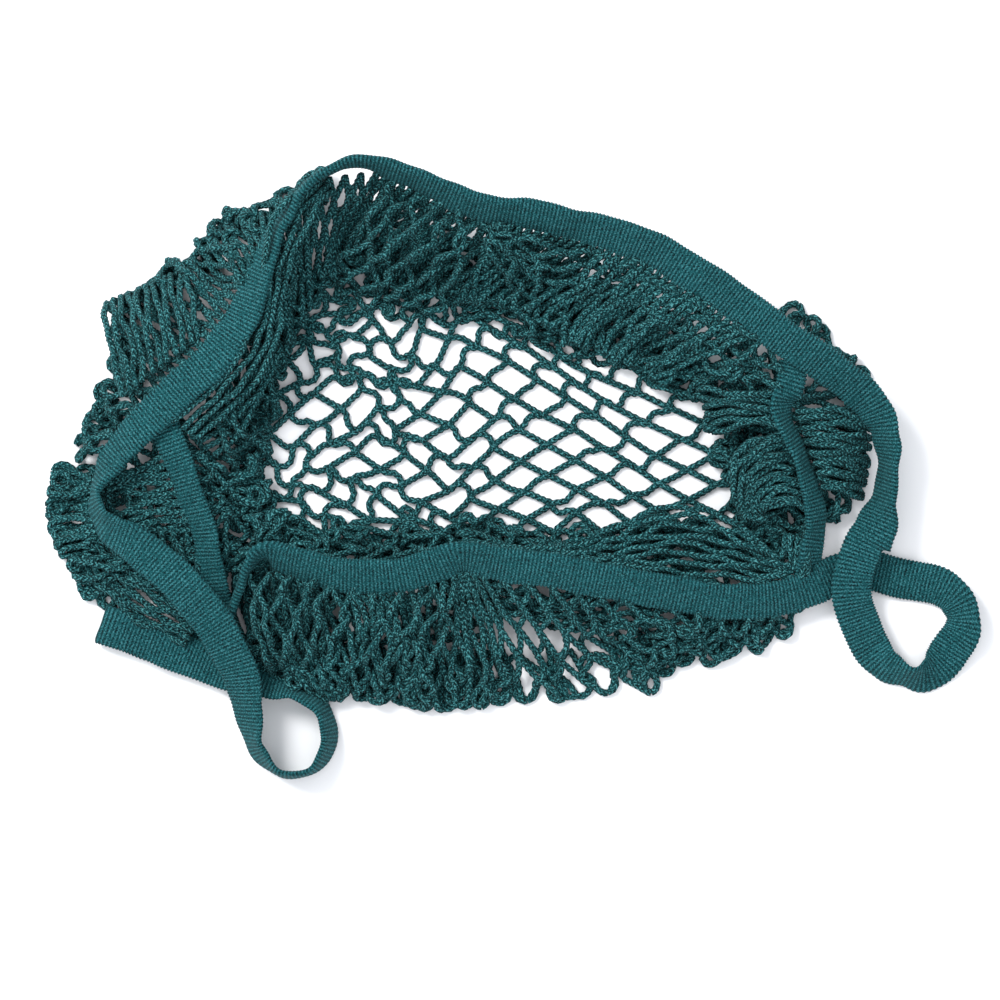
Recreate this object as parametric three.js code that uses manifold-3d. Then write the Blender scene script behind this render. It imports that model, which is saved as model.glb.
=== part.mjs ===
// A string shopping bag of knotted cotton net, lying collapsed on a flat surface.
//
// Millimetres, +Z up, +X to the right and +Y away from the front of the bag. The bag is bound by
// one ribbed band that runs in a ring: far rim, left handle, near rim, right handle. Two short side
// bands gather the net between the rims. The net is a set of thin, pierced lattices that leave the
// bands in pleats and lie down on the surface.
//
// In every table x and y are shares of spreadLength and spreadWidth, measured from the middle of
// the spread bag, and a rise is a share of heapHeight, measured from the surface it lies on.

import * as THREE from "three";
import { mergeVertices } from "three/addons/utils/BufferGeometryUtils.js";
import Module from "manifold-3d";

const wasm = await Module();
wasm.setup();

// Driving dimensions
const spreadLength = 355;
const spreadWidth = 235;
const heapHeight = 42;

const bindingWidth = 15;
const bindingThickness = 3.4;
const strapWidth = 15.5;
const strapThickness = 2.2;
const sideBandWidth = 11.5;
const sideBandThickness = 2.4;

const netThickness = 2.2;
const floorNetThickness = 1.6;
const strandWidth = 3.4;
const pleatDepth = 2.4;

const clearance = 0.35;
const finestDetail = 0.04;
const stepsPerBend = 3;

// Half turns that the band makes on its way round the ring
const ringHalfTurns = 1;

// Cross-sections of the bands: across is a share of the width, through a share of the thickness.
// A binding is fullest where its two layers fold over, and a strap is flat.
const bindingSection = [
  { across: -0.5, through: -0.3 },
  { across: -0.5, through: 0.3 },
  { across: 0.22, through: 0.5 },
  { across: 0.5, through: 0.22 },
  { across: 0.5, through: -0.22 },
  { across: 0.22, through: -0.5 },
];
const strapSection = [
  { across: -0.5, through: -0.5 },
  { across: -0.5, through: 0.5 },
  { across: 0.5, through: 0.5 },
  { across: 0.5, through: -0.5 },
];

// The ring of band in its order round the bag, a row for each bend. lean turns the band about its
// own length, in degrees: 0 and 180 lie flat, 90 and 270 stand on edge.
const farRimRows = [
  { x: 0.372, y: 0.128, rise: 0.43, lean: 24 },
  { x: 0.312, y: 0.195, rise: 0.56, lean: 18 },
  { x: 0.263, y: 0.246, rise: 0.62, lean: 15 },
  { x: 0.209, y: 0.304, rise: 0.67, lean: 18 },
  { x: 0.141, y: 0.361, rise: 0.71, lean: 30 },
  { x: 0.059, y: 0.395, rise: 0.73, lean: 42 },
  { x: -0.033, y: 0.423, rise: 0.76, lean: 50 },
  { x: -0.101, y: 0.465, rise: 0.78, lean: 62 },
  { x: -0.157, y: 0.488, rise: 0.79, lean: 80 },
  { x: -0.203, y: 0.457, rise: 0.77, lean: 96 },
  { x: -0.232, y: 0.398, rise: 0.74, lean: 112 },
  { x: -0.255, y: 0.321, rise: 0.71, lean: 136 },
  { x: -0.278, y: 0.234, rise: 0.68, lean: 158 },
  { x: -0.302, y: 0.183, rise: 0.66, lean: 168 },
  { x: -0.338, y: 0.133, rise: 0.62, lean: 172 },
  { x: -0.373, y: 0.082, rise: 0.56, lean: 166 },
  { x: -0.41, y: 0.027, rise: 0.48, lean: 140 },
];
const leftHandleRows = [
  { x: -0.429, y: -0.03, rise: 0.44, lean: 104 },
  { x: -0.427, y: -0.066, rise: 0.46, lean: 112 },
  { x: -0.413, y: -0.094, rise: 0.49, lean: 140 },
  { x: -0.386, y: -0.117, rise: 0.52, lean: 166 },
  { x: -0.346, y: -0.17, rise: 0.53, lean: 176 },
  { x: -0.306, y: -0.24, rise: 0.48, lean: 176 },
  { x: -0.282, y: -0.309, rise: 0.38, lean: 164 },
  { x: -0.272, y: -0.377, rise: 0.27, lean: 140 },
  { x: -0.262, y: -0.441, rise: 0.2, lean: 112 },
  { x: -0.236, y: -0.482, rise: 0.19, lean: 98 },
  { x: -0.203, y: -0.476, rise: 0.19, lean: 98 },
  { x: -0.184, y: -0.431, rise: 0.19, lean: 110 },
  { x: -0.192, y: -0.381, rise: 0.19, lean: 112 },
  { x: -0.219, y: -0.35, rise: 0.17, lean: 114 },
  { x: -0.255, y: -0.337, rise: 0.14, lean: 142 },
  { x: -0.305, y: -0.312, rise: 0.09, lean: 180 },
  { x: -0.363, y: -0.275, rise: 0.11, lean: 180 },
  { x: -0.403, y: -0.256, rise: 0.14, lean: 180 },
  { x: -0.42, y: -0.25, rise: 0.13, lean: 180 },
  { x: -0.425, y: -0.247, rise: 0.085, lean: 180 },
  { x: -0.419, y: -0.244, rise: 0.035, lean: 180 },
  { x: -0.39, y: -0.24, rise: 0.03, lean: 180 },
  { x: -0.35, y: -0.236, rise: 0.05, lean: 190 },
  { x: -0.317, y: -0.235, rise: 0.13, lean: 222 },
];
const nearRimRows = [
  { x: -0.291, y: -0.224, rise: 0.2, lean: 262 },
  { x: -0.28, y: -0.189, rise: 0.25, lean: 264 },
  { x: -0.27, y: -0.154, rise: 0.31, lean: 276 },
  { x: -0.253, y: -0.129, rise: 0.37, lean: 300 },
  { x: -0.226, y: -0.143, rise: 0.43, lean: 322 },
  { x: -0.18, y: -0.163, rise: 0.48, lean: 332 },
  { x: -0.12, y: -0.165, rise: 0.51, lean: 334 },
  { x: -0.074, y: -0.152, rise: 0.54, lean: 334 },
  { x: -0.044, y: -0.137, rise: 0.55, lean: 326 },
  { x: -0.01, y: -0.145, rise: 0.53, lean: 332 },
  { x: 0.045, y: -0.157, rise: 0.49, lean: 336 },
  { x: 0.121, y: -0.178, rise: 0.43, lean: 336 },
  { x: 0.2, y: -0.2, rise: 0.37, lean: 336 },
  { x: 0.265, y: -0.208, rise: 0.3, lean: 338 },
  { x: 0.308, y: -0.197, rise: 0.25, lean: 340 },
];
const rightHandleRows = [
  { x: 0.334, y: -0.179, rise: 0.19, lean: 346 },
  { x: 0.356, y: -0.163, rise: 0.11, lean: 354 },
  { x: 0.382, y: -0.158, rise: 0.07, lean: 360 },
  { x: 0.412, y: -0.166, rise: 0.05, lean: 360 },
  { x: 0.44, y: -0.178, rise: 0.06, lean: 352 },
  { x: 0.468, y: -0.19, rise: 0.13, lean: 314 },
  { x: 0.484, y: -0.205, rise: 0.19, lean: 272 },
  { x: 0.485, y: -0.235, rise: 0.13, lean: 226 },
  { x: 0.473, y: -0.281, rise: 0.05, lean: 190 },
  { x: 0.459, y: -0.314, rise: 0.12, lean: 222 },
  { x: 0.442, y: -0.333, rise: 0.19, lean: 254 },
  { x: 0.42, y: -0.325, rise: 0.13, lean: 222 },
  { x: 0.398, y: -0.298, rise: 0.05, lean: 188 },
  { x: 0.379, y: -0.251, rise: 0.1, lean: 180 },
  { x: 0.37, y: -0.205, rise: 0.19, lean: 180 },
  { x: 0.37, y: -0.16, rise: 0.24, lean: 180 },
  { x: 0.378, y: -0.122, rise: 0.24, lean: 186 },
  { x: 0.392, y: -0.089, rise: 0.24, lean: 206 },
  { x: 0.407, y: -0.041, rise: 0.25, lean: 232 },
  { x: 0.414, y: 0.01, rise: 0.28, lean: 236 },
  { x: 0.41, y: 0.053, rise: 0.32, lean: 228 },
  { x: 0.395, y: 0.094, rise: 0.38, lean: 214 },
];

const sideBandRows = {
  side_band_right: [
    { x: 0.323, y: -0.128, rise: 0.27, lean: 166 },
    { x: 0.329, y: -0.09, rise: 0.29, lean: 156 },
    { x: 0.327, y: -0.037, rise: 0.33, lean: 150 },
    { x: 0.319, y: 0.008, rise: 0.36, lean: 140 },
    { x: 0.305, y: 0.05, rise: 0.38, lean: 128 },
    { x: 0.294, y: 0.082, rise: 0.4, lean: 124 },
    { x: 0.292, y: 0.11, rise: 0.42, lean: 144 },
    { x: 0.3, y: 0.137, rise: 0.46, lean: 164 },
  ],
  side_band_left: [
    { x: -0.352, y: 0.052, rise: 0.5, lean: 166 },
    { x: -0.34, y: 0.005, rise: 0.47, lean: 158 },
    { x: -0.328, y: -0.045, rise: 0.42, lean: 150 },
    { x: -0.318, y: -0.093, rise: 0.36, lean: 148 },
    { x: -0.312, y: -0.138, rise: 0.29, lean: 150 },
    { x: -0.306, y: -0.185, rise: 0.23, lean: 156 },
  ],
};

// Stretches of net. Each row gives the outermost point of the net there. tuck is the share of the
// way back to the bound edge by which the net turns in underneath, and puff is how far the pleats
// stand above the straight way out, as a share of heapHeight.
const netWallRows = [
  { x: 0.236, y: -0.122, rise: 0.19, tuck: 0.35, puff: 0.02 },
  { x: 0.247, y: -0.045, rise: 0.19, tuck: 0.4, puff: 0.05 },
  { x: 0.23, y: 0.026, rise: 0.19, tuck: 0.4, puff: 0.05 },
  { x: 0.219, y: 0.085, rise: 0.19, tuck: 0.4, puff: 0.05 },
  { x: 0.198, y: 0.127, rise: 0.21, tuck: 0.4, puff: 0.02 },
  { x: 0.146, y: 0.152, rise: 0.21, tuck: 0.45, puff: 0.02 },
  { x: 0.085, y: 0.191, rise: 0.21, tuck: 0.5, puff: 0 },
  { x: 0.017, y: 0.234, rise: 0.21, tuck: 0.5, puff: 0 },
  { x: -0.044, y: 0.274, rise: 0.21, tuck: 0.5, puff: 0 },
  { x: -0.104, y: 0.289, rise: 0.21, tuck: 0.4, puff: 0 },
  { x: -0.162, y: 0.334, rise: 0.21, tuck: 0.3, puff: 0 },
  { x: -0.196, y: 0.286, rise: 0.19, tuck: 0.2, puff: 0 },
  { x: -0.218, y: 0.21, rise: 0.19, tuck: 0.3, puff: 0 },
  { x: -0.245, y: 0.13, rise: 0.19, tuck: 0.3, puff: 0 },
  { x: -0.255, y: 0.066, rise: 0.19, tuck: 0.3, puff: 0.02 },
  { x: -0.262, y: 0.006, rise: 0.19, tuck: 0.3, puff: 0.05 },
  { x: -0.259, y: -0.050, rise: 0.18, tuck: 0.3, puff: 0.05 },
  { x: -0.241, y: -0.084, rise: 0.18, tuck: 0.3, puff: 0.02 },
  { x: -0.186, y: -0.103, rise: 0.18, tuck: 0.2, puff: 0 },
  { x: -0.108, y: -0.111, rise: 0.18, tuck: 0.2, puff: 0 },
  { x: -0.036, y: -0.090, rise: 0.18, tuck: 0.1, puff: 0 },
  { x: 0.043, y: -0.106, rise: 0.19, tuck: 0.3, puff: 0 },
  { x: 0.114, y: -0.096, rise: 0.19, tuck: 0.35, puff: 0 },
  { x: 0.177, y: -0.085, rise: 0.19, tuck: 0.35, puff: 0.02 },
];
const netBulgeRows = [
  { x: -0.198, y: 0.478, rise: 0.33, tuck: 0, puff: 0 },
  { x: -0.245, y: 0.414, rise: 0.29, tuck: 0.1, puff: 0.02 },
  { x: -0.297, y: 0.398, rise: 0.24, tuck: 0.2, puff: 0.05 },
  { x: -0.329, y: 0.341, rise: 0.19, tuck: 0.3, puff: 0.1 },
  { x: -0.373, y: 0.331, rise: 0.17, tuck: 0.35, puff: 0.14 },
  { x: -0.42, y: 0.277, rise: 0.14, tuck: 0.4, puff: 0.17 },
  { x: -0.411, y: 0.202, rise: 0.14, tuck: 0.4, puff: 0.17 },
  { x: -0.422, y: 0.122, rise: 0.12, tuck: 0.4, puff: 0.12 },
  { x: -0.451, y: 0.042, rise: 0.1, tuck: 0.2, puff: 0.05 },
];
const netLeftFanRows = [
  { x: -0.466, y: 0.002, rise: 0.12, tuck: 0.3, puff: 0.07 },
  { x: -0.489, y: -0.045, rise: 0.12, tuck: 0.4, puff: 0.07 },
  { x: -0.5, y: -0.085, rise: 0.1, tuck: 0.45, puff: 0.07 },
  { x: -0.481, y: -0.128, rise: 0.1, tuck: 0.45, puff: 0.07 },
  { x: -0.456, y: -0.163, rise: 0.07, tuck: 0.4, puff: 0.05 },
  { x: -0.426, y: -0.189, rise: 0.07, tuck: 0.3, puff: 0.02 },
];
const netSkirtRows = [
  { x: -0.255, y: -0.288, rise: 0.1, tuck: 0.2, puff: 0.02 },
  { x: -0.217, y: -0.339, rise: 0.1, tuck: 0.35, puff: 0.1 },
  { x: -0.178, y: -0.358, rise: 0.1, tuck: 0.4, puff: 0.12 },
  { x: -0.122, y: -0.353, rise: 0.1, tuck: 0.4, puff: 0.14 },
  { x: -0.078, y: -0.374, rise: 0.1, tuck: 0.45, puff: 0.14 },
  { x: -0.034, y: -0.368, rise: 0.1, tuck: 0.45, puff: 0.12 },
  { x: 0.011, y: -0.371, rise: 0.1, tuck: 0.45, puff: 0.1 },
  { x: 0.049, y: -0.377, rise: 0.1, tuck: 0.45, puff: 0.07 },
  { x: 0.097, y: -0.358, rise: 0.08, tuck: 0.4, puff: 0.07 },
  { x: 0.148, y: -0.323, rise: 0.08, tuck: 0.35, puff: 0.05 },
  { x: 0.198, y: -0.289, rise: 0.07, tuck: 0.3, puff: 0.02 },
  { x: 0.243, y: -0.262, rise: 0.07, tuck: 0.2, puff: 0 },
  { x: 0.278, y: -0.243, rise: 0.07, tuck: 0.1, puff: 0 },
];
const netRightFanRows = [
  { x: 0.349, y: -0.079, rise: 0.12, tuck: 0.1, puff: 0 },
  { x: 0.363, y: -0.045, rise: 0.12, tuck: 0.25, puff: 0.02 },
  { x: 0.382, y: -0.017, rise: 0.12, tuck: 0.35, puff: 0.05 },
  { x: 0.392, y: 0.015, rise: 0.12, tuck: 0.4, puff: 0.05 },
  { x: 0.396, y: 0.044, rise: 0.12, tuck: 0.4, puff: 0.05 },
  { x: 0.39, y: 0.082, rise: 0.12, tuck: 0.4, puff: 0.05 },
  { x: 0.384, y: 0.127, rise: 0.12, tuck: 0.4, puff: 0.02 },
  { x: 0.373, y: 0.168, rise: 0.12, tuck: 0.4, puff: 0.02 },
  { x: 0.352, y: 0.203, rise: 0.12, tuck: 0.4, puff: 0.02 },
  { x: 0.325, y: 0.245, rise: 0.12, tuck: 0.35, puff: 0.02 },
  { x: 0.293, y: 0.261, rise: 0.12, tuck: 0.2, puff: 0.02 },
];

// The flat net inside the mouth: a row for each level from near to far, with its two ends.
const floorNetRows = [
  { y: -0.173, left: -0.215, right: 0.207 },
  { y: -0.117, left: -0.245, right: 0.251 },
  { y: -0.053, left: -0.264, right: 0.251 },
  { y: 0.01, left: -0.268, right: 0.244 },
  { y: 0.082, left: -0.266, right: 0.23 },
  { y: 0.154, left: -0.255, right: 0.196 },
  { y: 0.218, left: -0.242, right: 0.143 },
  { y: 0.274, left: -0.215, right: 0.017 },
  { y: 0.318, left: -0.184, right: -0.078 },
];

// The bands that bind each stretch of net, how finely it is divided, and where it is pierced. A
// stretch's rows start in turn from count places on each band, between two shares of its length.
// edge is the place across the band, as a share of its width, and drop is how far below it the net
// starts, as a share of heapHeight. restsOn is the height of what the tucked end lies on. Every so
// many columns, the cells on the open levels are pierced, between two shares of the stretch.
const netStretches = {
  net_wall_inner: {
    rows: netWallRows,
    bound: [
      { band: "side_band_right", from: 0.05, to: 0.8, edge: 0.3, drop: 0.1, count: 4 },
      { band: "rim_band_back", from: 0.11, to: 0.54, edge: -0.5, drop: 0, count: 7 },
      { band: "rim_band_back", from: 0.61, to: 0.8, edge: 0.3, drop: 0.1, count: 4 },
      { band: "side_band_left", from: 0.05, to: 0.85, edge: 0.3, drop: 0.1, count: 3 },
      { band: "rim_band_front", from: 0.18, to: 0.85, edge: 0.3, drop: 0.12, count: 6 },
    ],
    restsOn: floorNetThickness + clearance, closed: true, columns: 108, levels: 6, pleats: 27,
    open: { from: 0, to: 1, every: 12, levels: [2, 3] },
  },
  net_bulge_left: {
    rows: netBulgeRows,
    bound: [{ band: "rim_band_back", from: 0.61, to: 0.96, edge: -0.5, drop: 0, count: 9 }],
    restsOn: 0, closed: false, columns: 44, levels: 8, pleats: 9,
    open: { from: 0.15, to: 0.95, every: 8, levels: [2] },
  },
  net_fan_left: {
    rows: netLeftFanRows,
    bound: [{ band: "side_band_left", from: 0.05, to: 0.95, edge: -0.5, drop: 0, count: 6 }],
    restsOn: 0, closed: false, columns: 26, levels: 8, pleats: 6,
    open: { from: 0.1, to: 0.9, every: 8, levels: [4] },
  },
  net_skirt_front: {
    rows: netSkirtRows,
    bound: [{ band: "rim_band_front", from: 0.05, to: 0.96, edge: -0.5, drop: 0, count: 13 }],
    restsOn: 0, closed: false, columns: 60, levels: 8, pleats: 15,
    open: { from: 0.5, to: 0.9, every: 4, levels: [2, 3, 4] },
  },
  net_fan_right: {
    rows: netRightFanRows,
    bound: [
      { band: "side_band_right", from: 0.3, to: 0.95, edge: -0.5, drop: 0, count: 7 },
      { band: "rim_band_back", from: 0.03, to: 0.1, edge: -0.4, drop: 0.16, count: 4 },
    ],
    restsOn: 0, closed: false, columns: 36, levels: 6, pleats: 8,
    open: { from: 0.1, to: 0.6, every: 8, levels: [3] },
  },
};

const netColour = 0x155450;
const bandColour = 0x1b6662;
const clothRoughness = 0.95;
const clothMetalness = 0;

function clothMaterial(colour) {
  return new THREE.MeshStandardMaterial({
    color: colour, roughness: clothRoughness, metalness: clothMetalness,
  });
}

function placed(x, y, rise) {
  return new THREE.Vector3(x * spreadLength, y * spreadWidth, rise * heapHeight);
}

// A closed mesh from its corners and its triangles
function meshGeometry(corners, triangles) {
  const geometry = new THREE.BufferGeometry();
  const positions = corners.flatMap((corner) => [corner.x, corner.y, corner.z]);
  geometry.setAttribute("position", new THREE.Float32BufferAttribute(positions, 3));
  geometry.setIndex(triangles);
  return geometry;
}

// Points, directions and leans at even steps along a band's rows. A closed band comes back to its
// first row turned over by closingTurn degrees.
function bandStations(rows, closed = false, closingTurn = 0) {
  const points = rows.map((row) => placed(row.x, row.y, row.rise));
  const curve = new THREE.CatmullRomCurve3(points, closed, "centripetal");
  const leans = rows.map((row) => row.lean);
  if (closed) {
    leans.push(leans[0] + closingTurn);
  }
  const steps = (leans.length - 1) * stepsPerBend;
  const stations = [];
  for (let step = 0; step <= steps; step += 1) {
    const row = Math.min(Math.floor(step / stepsPerBend), leans.length - 2);
    const share = THREE.MathUtils.smoothstep(step / stepsPerBend - row, 0, 1);
    stations.push({
      point: curve.getPoint(step / steps),
      along: curve.getTangent(step / steps),
      lean: THREE.MathUtils.degToRad(THREE.MathUtils.lerp(leans[row], leans[row + 1], share)),
    });
  }
  return stations;
}

// Each station's width direction and face direction. The sideways direction keeps its sense from
// one station to the next, so the band can double back under itself.
function frameStations(stations) {
  const up = new THREE.Vector3(0, 0, 1);
  const levelLimit = 0.6;
  let sideways = new THREE.Vector3().crossVectors(stations[0].along, up).normalize();
  for (const station of stations) {
    const level = new THREE.Vector3().crossVectors(station.along, up);
    const next = level.length() > levelLimit ? level.normalize() : sideways.clone();
    if (next.dot(sideways) < 0) {
      next.negate();
    }
    next.addScaledVector(station.along, -next.dot(station.along)).normalize();
    sideways = next;
    const upright = new THREE.Vector3().crossVectors(sideways, station.along);
    station.across = sideways.clone().multiplyScalar(Math.cos(station.lean))
      .addScaledVector(upright, Math.sin(station.lean));
    station.through = new THREE.Vector3().crossVectors(station.along, station.across);
  }
  return stations;
}

// Lifts a station so that no corner of the band's section is below the surface it lies on
function liftOffSurface(station, section, width, thickness) {
  const reach = Math.max(...section.map((corner) => (
    -corner.across * width * station.across.z - corner.through * thickness * station.through.z
  )));
  station.point.z = Math.max(station.point.z, reach);
}

// The solid band through framed stations, with flat ends
function bandGeometry(stations, section, width, thickness) {
  const corners = [];
  const triangles = [];
  const sides = section.length;
  for (const station of stations) {
    liftOffSurface(station, section, width, thickness);
    for (const corner of section) {
      corners.push(station.point.clone()
        .addScaledVector(station.across, corner.across * width)
        .addScaledVector(station.through, corner.through * thickness));
    }
  }
  for (let ring = 0; ring < stations.length - 1; ring += 1) {
    for (let side = 0; side < sides; side += 1) {
      const here = ring * sides + side;
      const beside = ring * sides + (side + 1) % sides;
      triangles.push(here, beside + sides, beside, here, here + sides, beside + sides);
    }
  }
  const last = (stations.length - 1) * sides;
  for (let side = 1; side < sides - 1; side += 1) {
    triangles.push(0, side, side + 1);
    triangles.push(last, last + side + 1, last + side);
  }
  return meshGeometry(corners, triangles);
}

// The station at a share of a band's length
function stationAt(stations, share) {
  const lengths = [0];
  for (let index = 1; index < stations.length; index += 1) {
    lengths.push(lengths[index - 1] + stations[index].point.distanceTo(stations[index - 1].point));
  }
  const wanted = share * lengths[lengths.length - 1];
  const after = Math.max(1, lengths.findIndex((length) => length >= wanted));
  const part = (wanted - lengths[after - 1]) / (lengths[after] - lengths[after - 1]);
  const before = stations[after - 1];
  return {
    point: before.point.clone().lerp(stations[after].point, part),
    across: before.across.clone().lerp(stations[after].across, part).normalize(),
  };
}

// Draws the first and last station inwards, so that a band stops short of what it is sewn to
function trimEnds(stations, trim) {
  stations[0].point.addScaledVector(stations[0].along, trim);
  stations[stations.length - 1].point.addScaledVector(stations[stations.length - 1].along, -trim);
  return stations;
}

// A smooth curve through one point of each row, open or closed
function rowCurve(rows, pick, closed) {
  return new THREE.CatmullRomCurve3(rows.map(pick), closed, "catmullrom", 0.5);
}

// The places on the bands where the rows of a stretch of net start
function boundPlaces(bound, bandsByName) {
  return bound.flatMap((run) => Array.from({ length: run.count }, (_, index) => {
    const band = bandsByName.get(run.band);
    const share = THREE.MathUtils.lerp(run.from, run.to, index / (run.count - 1));
    const station = stationAt(band.stations, share);
    const place = station.point.clone().addScaledVector(station.across, run.edge * band.width);
    place.z -= run.drop * heapHeight;
    return place;
  }));
}

// The middle surface of a stretch of net: u runs along the bound edge, v from it to the tucked end
function netSurface(stretch, bandsByName) {
  const { rows, closed, pleats } = stretch;
  const places = boundPlaces(stretch.bound, bandsByName);
  const bound = new THREE.CatmullRomCurve3(places, closed, "catmullrom", 0.5);
  const outer = rowCurve(rows, (row) => placed(row.x, row.y, row.rise), closed);
  const shaping = rowCurve(rows, (row) => new THREE.Vector3(row.tuck, row.puff * heapHeight, 0), closed);
  const lowest = stretch.restsOn + netThickness / 2;
  const pleatless = (u, v) => {
    const top = bound.getPoint(u);
    const edge = outer.getPoint(u);
    const shape = shaping.getPoint(u);
    const shoulder = top.clone().lerp(edge, 0.55);
    shoulder.z += shape.y;
    const foot = edge.clone().lerp(top, shape.x);
    foot.z = lowest;
    return new THREE.CatmullRomCurve3([top, shoulder, edge, foot]).getPoint(v);
  };
  const normalAt = (surface, u, v) => {
    const step = 0.002;
    const back = Math.max(v - step, 0);
    const ahead = Math.min(v + step, 1);
    const left = closed ? (u - step + 1) % 1 : Math.max(u - step, 0);
    const right = closed ? (u + step) % 1 : Math.min(u + step, 1);
    const along = surface(right, v).sub(surface(left, v));
    const down = surface(u, ahead).sub(surface(u, back));
    return along.cross(down).normalize();
  };
  const pleated = (u, v) => {
    const swell = Math.sin(Math.PI * Math.min(v, 0.75)) * pleatDepth;
    const point = pleatless(u, v);
    point.addScaledVector(normalAt(pleatless, u, v), swell * Math.sin(2 * Math.PI * pleats * u));
    point.z = Math.max(point.z, v > 0.8 ? lowest : netThickness / 2);
    return point;
  };
  return { point: pleated, normal: (u, v) => normalAt(pleated, u, v) };
}

// The flat net inside the mouth as a surface: u runs across, v from near to far
function floorSurface() {
  const ends = new THREE.CatmullRomCurve3(
    floorNetRows.map((row) => new THREE.Vector3(row.left, row.y, row.right)), false, "catmullrom", 0.5,
  );
  const point = (u, v) => {
    const level = ends.getPoint(v);
    const x = THREE.MathUtils.lerp(level.x, level.z, u);
    return new THREE.Vector3(x * spreadLength, level.y * spreadWidth, floorNetThickness / 2);
  };
  return { point, normal: () => new THREE.Vector3(0, 0, 1) };
}

// A sheet of the given thickness over faces of its middle surface. A boundary edge of the faces,
// round the outside or round a gap, gets a wall.
function thickSheet(points, normals, faces, thickness) {
  const count = points.length;
  const above = points.map((point, index) => point.clone().addScaledVector(normals[index], thickness / 2));
  const below = points.map((point, index) => point.clone().addScaledVector(normals[index], -thickness / 2));
  const corners = [...above, ...below];
  corners.forEach((corner) => {
    corner.z = Math.max(corner.z, 0);
  });
  const triangles = [];
  const edges = new Set();
  for (const face of faces) {
    for (let index = 1; index < face.length - 1; index += 1) {
      triangles.push(face[0], face[index], face[index + 1]);
      triangles.push(face[0] + count, face[index + 1] + count, face[index] + count);
    }
    face.forEach((from, index) => edges.add(`${from},${face[(index + 1) % face.length]}`));
  }
  for (const edge of edges) {
    const [from, to] = edge.split(",").map(Number);
    if (!edges.has(`${to},${from}`)) {
      triangles.push(from, from + count, to + count, from, to + count, to);
    }
  }
  return meshGeometry(corners, triangles);
}

// A lattice of diamonds over a surface, with a gap in each diamond that isOpen picks
function latticeGeometry({ surface, columns, levels, closed, thickness, isOpen }) {
  const points = [];
  const normals = [];
  const faces = [];
  const knots = new Map();
  const addPoint = (column, level) => {
    const u = closed ? ((column + columns) % columns) / columns : column / columns;
    const v = level / levels;
    points.push(surface.point(u, v));
    normals.push(surface.normal(u, v));
    return points.length - 1;
  };
  const knotAt = (column, level) => {
    const key = `${closed ? (column + columns) % columns : column},${level}`;
    if (!knots.has(key)) {
      knots.set(key, addPoint(column, level));
    }
    return knots.get(key);
  };
  const lastColumn = closed ? columns - 1 : columns;
  for (let column = 0; column <= lastColumn; column += 1) {
    for (let level = 0; level <= levels; level += 1) {
      if ((column + level) % 2 === 0) {
        continue;
      }
      const around = [[-1, 0], [0, -1], [1, 0], [0, 1]]
        .map(([aside, along]) => [column + aside, level + along])
        .filter(([c, l]) => (closed || (c >= 0 && c <= columns)) && l >= 0 && l <= levels);
      const outline = around.map(([c, l]) => knotAt(c, l));
      if (around.length < 4 || !isOpen(column, level)) {
        faces.push(outline);
        continue;
      }
      const share = gapShare(outline.map((index) => points[index]));
      const inner = around.map(([c, l]) => (
        addPoint(column + (c - column) * share, level + (l - level) * share)
      ));
      outline.forEach((corner, index) => {
        const next = (index + 1) % 4;
        faces.push([corner, outline[next], inner[next], inner[index]]);
      });
    }
  }
  return thickSheet(points, normals, faces, thickness);
}

// How large the gap in a diamond is beside the diamond, so that the strands keep their width
function gapShare([west, south, east, north]) {
  const across = east.clone().sub(west);
  const along = north.clone().sub(south);
  const area = across.clone().cross(along).length() / 2;
  const side = south.distanceTo(east);
  const smallest = 0.15;
  return Math.max(smallest, 1 - strandWidth / (area / side));
}

function toSolid(geometry) {
  const bare = geometry.clone();
  bare.deleteAttribute("normal");
  bare.deleteAttribute("uv");
  const merged = mergeVertices(bare);
  const solidMesh = new wasm.Mesh({
    numProp: 3,
    vertProperties: new Float32Array(merged.attributes.position.array),
    triVerts: new Uint32Array(merged.index.array),
  });
  return new wasm.Manifold(solidMesh);
}

function fromSolid(solid) {
  const { vertProperties, triVerts } = solid.getMesh();
  const geometry = new THREE.BufferGeometry();
  geometry.setAttribute("position", new THREE.BufferAttribute(new Float32Array(vertProperties), 3));
  geometry.setIndex(new THREE.BufferAttribute(new Uint32Array(triVerts), 1));
  return geometry;
}

// What is left of a geometry clear of its neighbours: the largest piece, without loose scraps
function clearOf(geometry, neighbours) {
  let solid = toSolid(geometry);
  for (const neighbour of neighbours) {
    solid = solid.subtract(toSolid(neighbour));
  }
  const pieces = solid.simplify(finestDetail).decompose();
  pieces.sort((one, other) => other.volume() - one.volume());
  return fromSolid(pieces[0]);
}

// The four pieces of the ring, in order, each from its first row to the next piece's first row
const ringPieces = [
  { name: "rim_band_back", rows: farRimRows, section: bindingSection, width: bindingWidth,
    thickness: bindingThickness },
  { name: "handle_left", rows: leftHandleRows, section: strapSection, width: strapWidth,
    thickness: strapThickness },
  { name: "rim_band_front", rows: nearRimRows, section: bindingSection, width: bindingWidth,
    thickness: bindingThickness },
  { name: "handle_right", rows: rightHandleRows, section: strapSection, width: strapWidth,
    thickness: strapThickness },
];

// Stations of the whole ring, framed together, then shared out between the pieces
function ringBands() {
  const allRows = ringPieces.flatMap((piece) => piece.rows);
  const stations = frameStations(bandStations(allRows, true, 180 * ringHalfTurns));
  let first = 0;
  return ringPieces.map((piece) => {
    const last = first + piece.rows.length * stepsPerBend;
    const own = stations.slice(first, last + 1).map((station) => ({
      ...station, point: station.point.clone(),
    }));
    first = last;
    return { ...piece, stations: own };
  });
}

function sideBands() {
  return Object.entries(sideBandRows).map(([name, rows]) => ({
    name,
    stations: frameStations(bandStations(rows)),
    section: strapSection,
    width: sideBandWidth,
    thickness: sideBandThickness,
  }));
}

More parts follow.
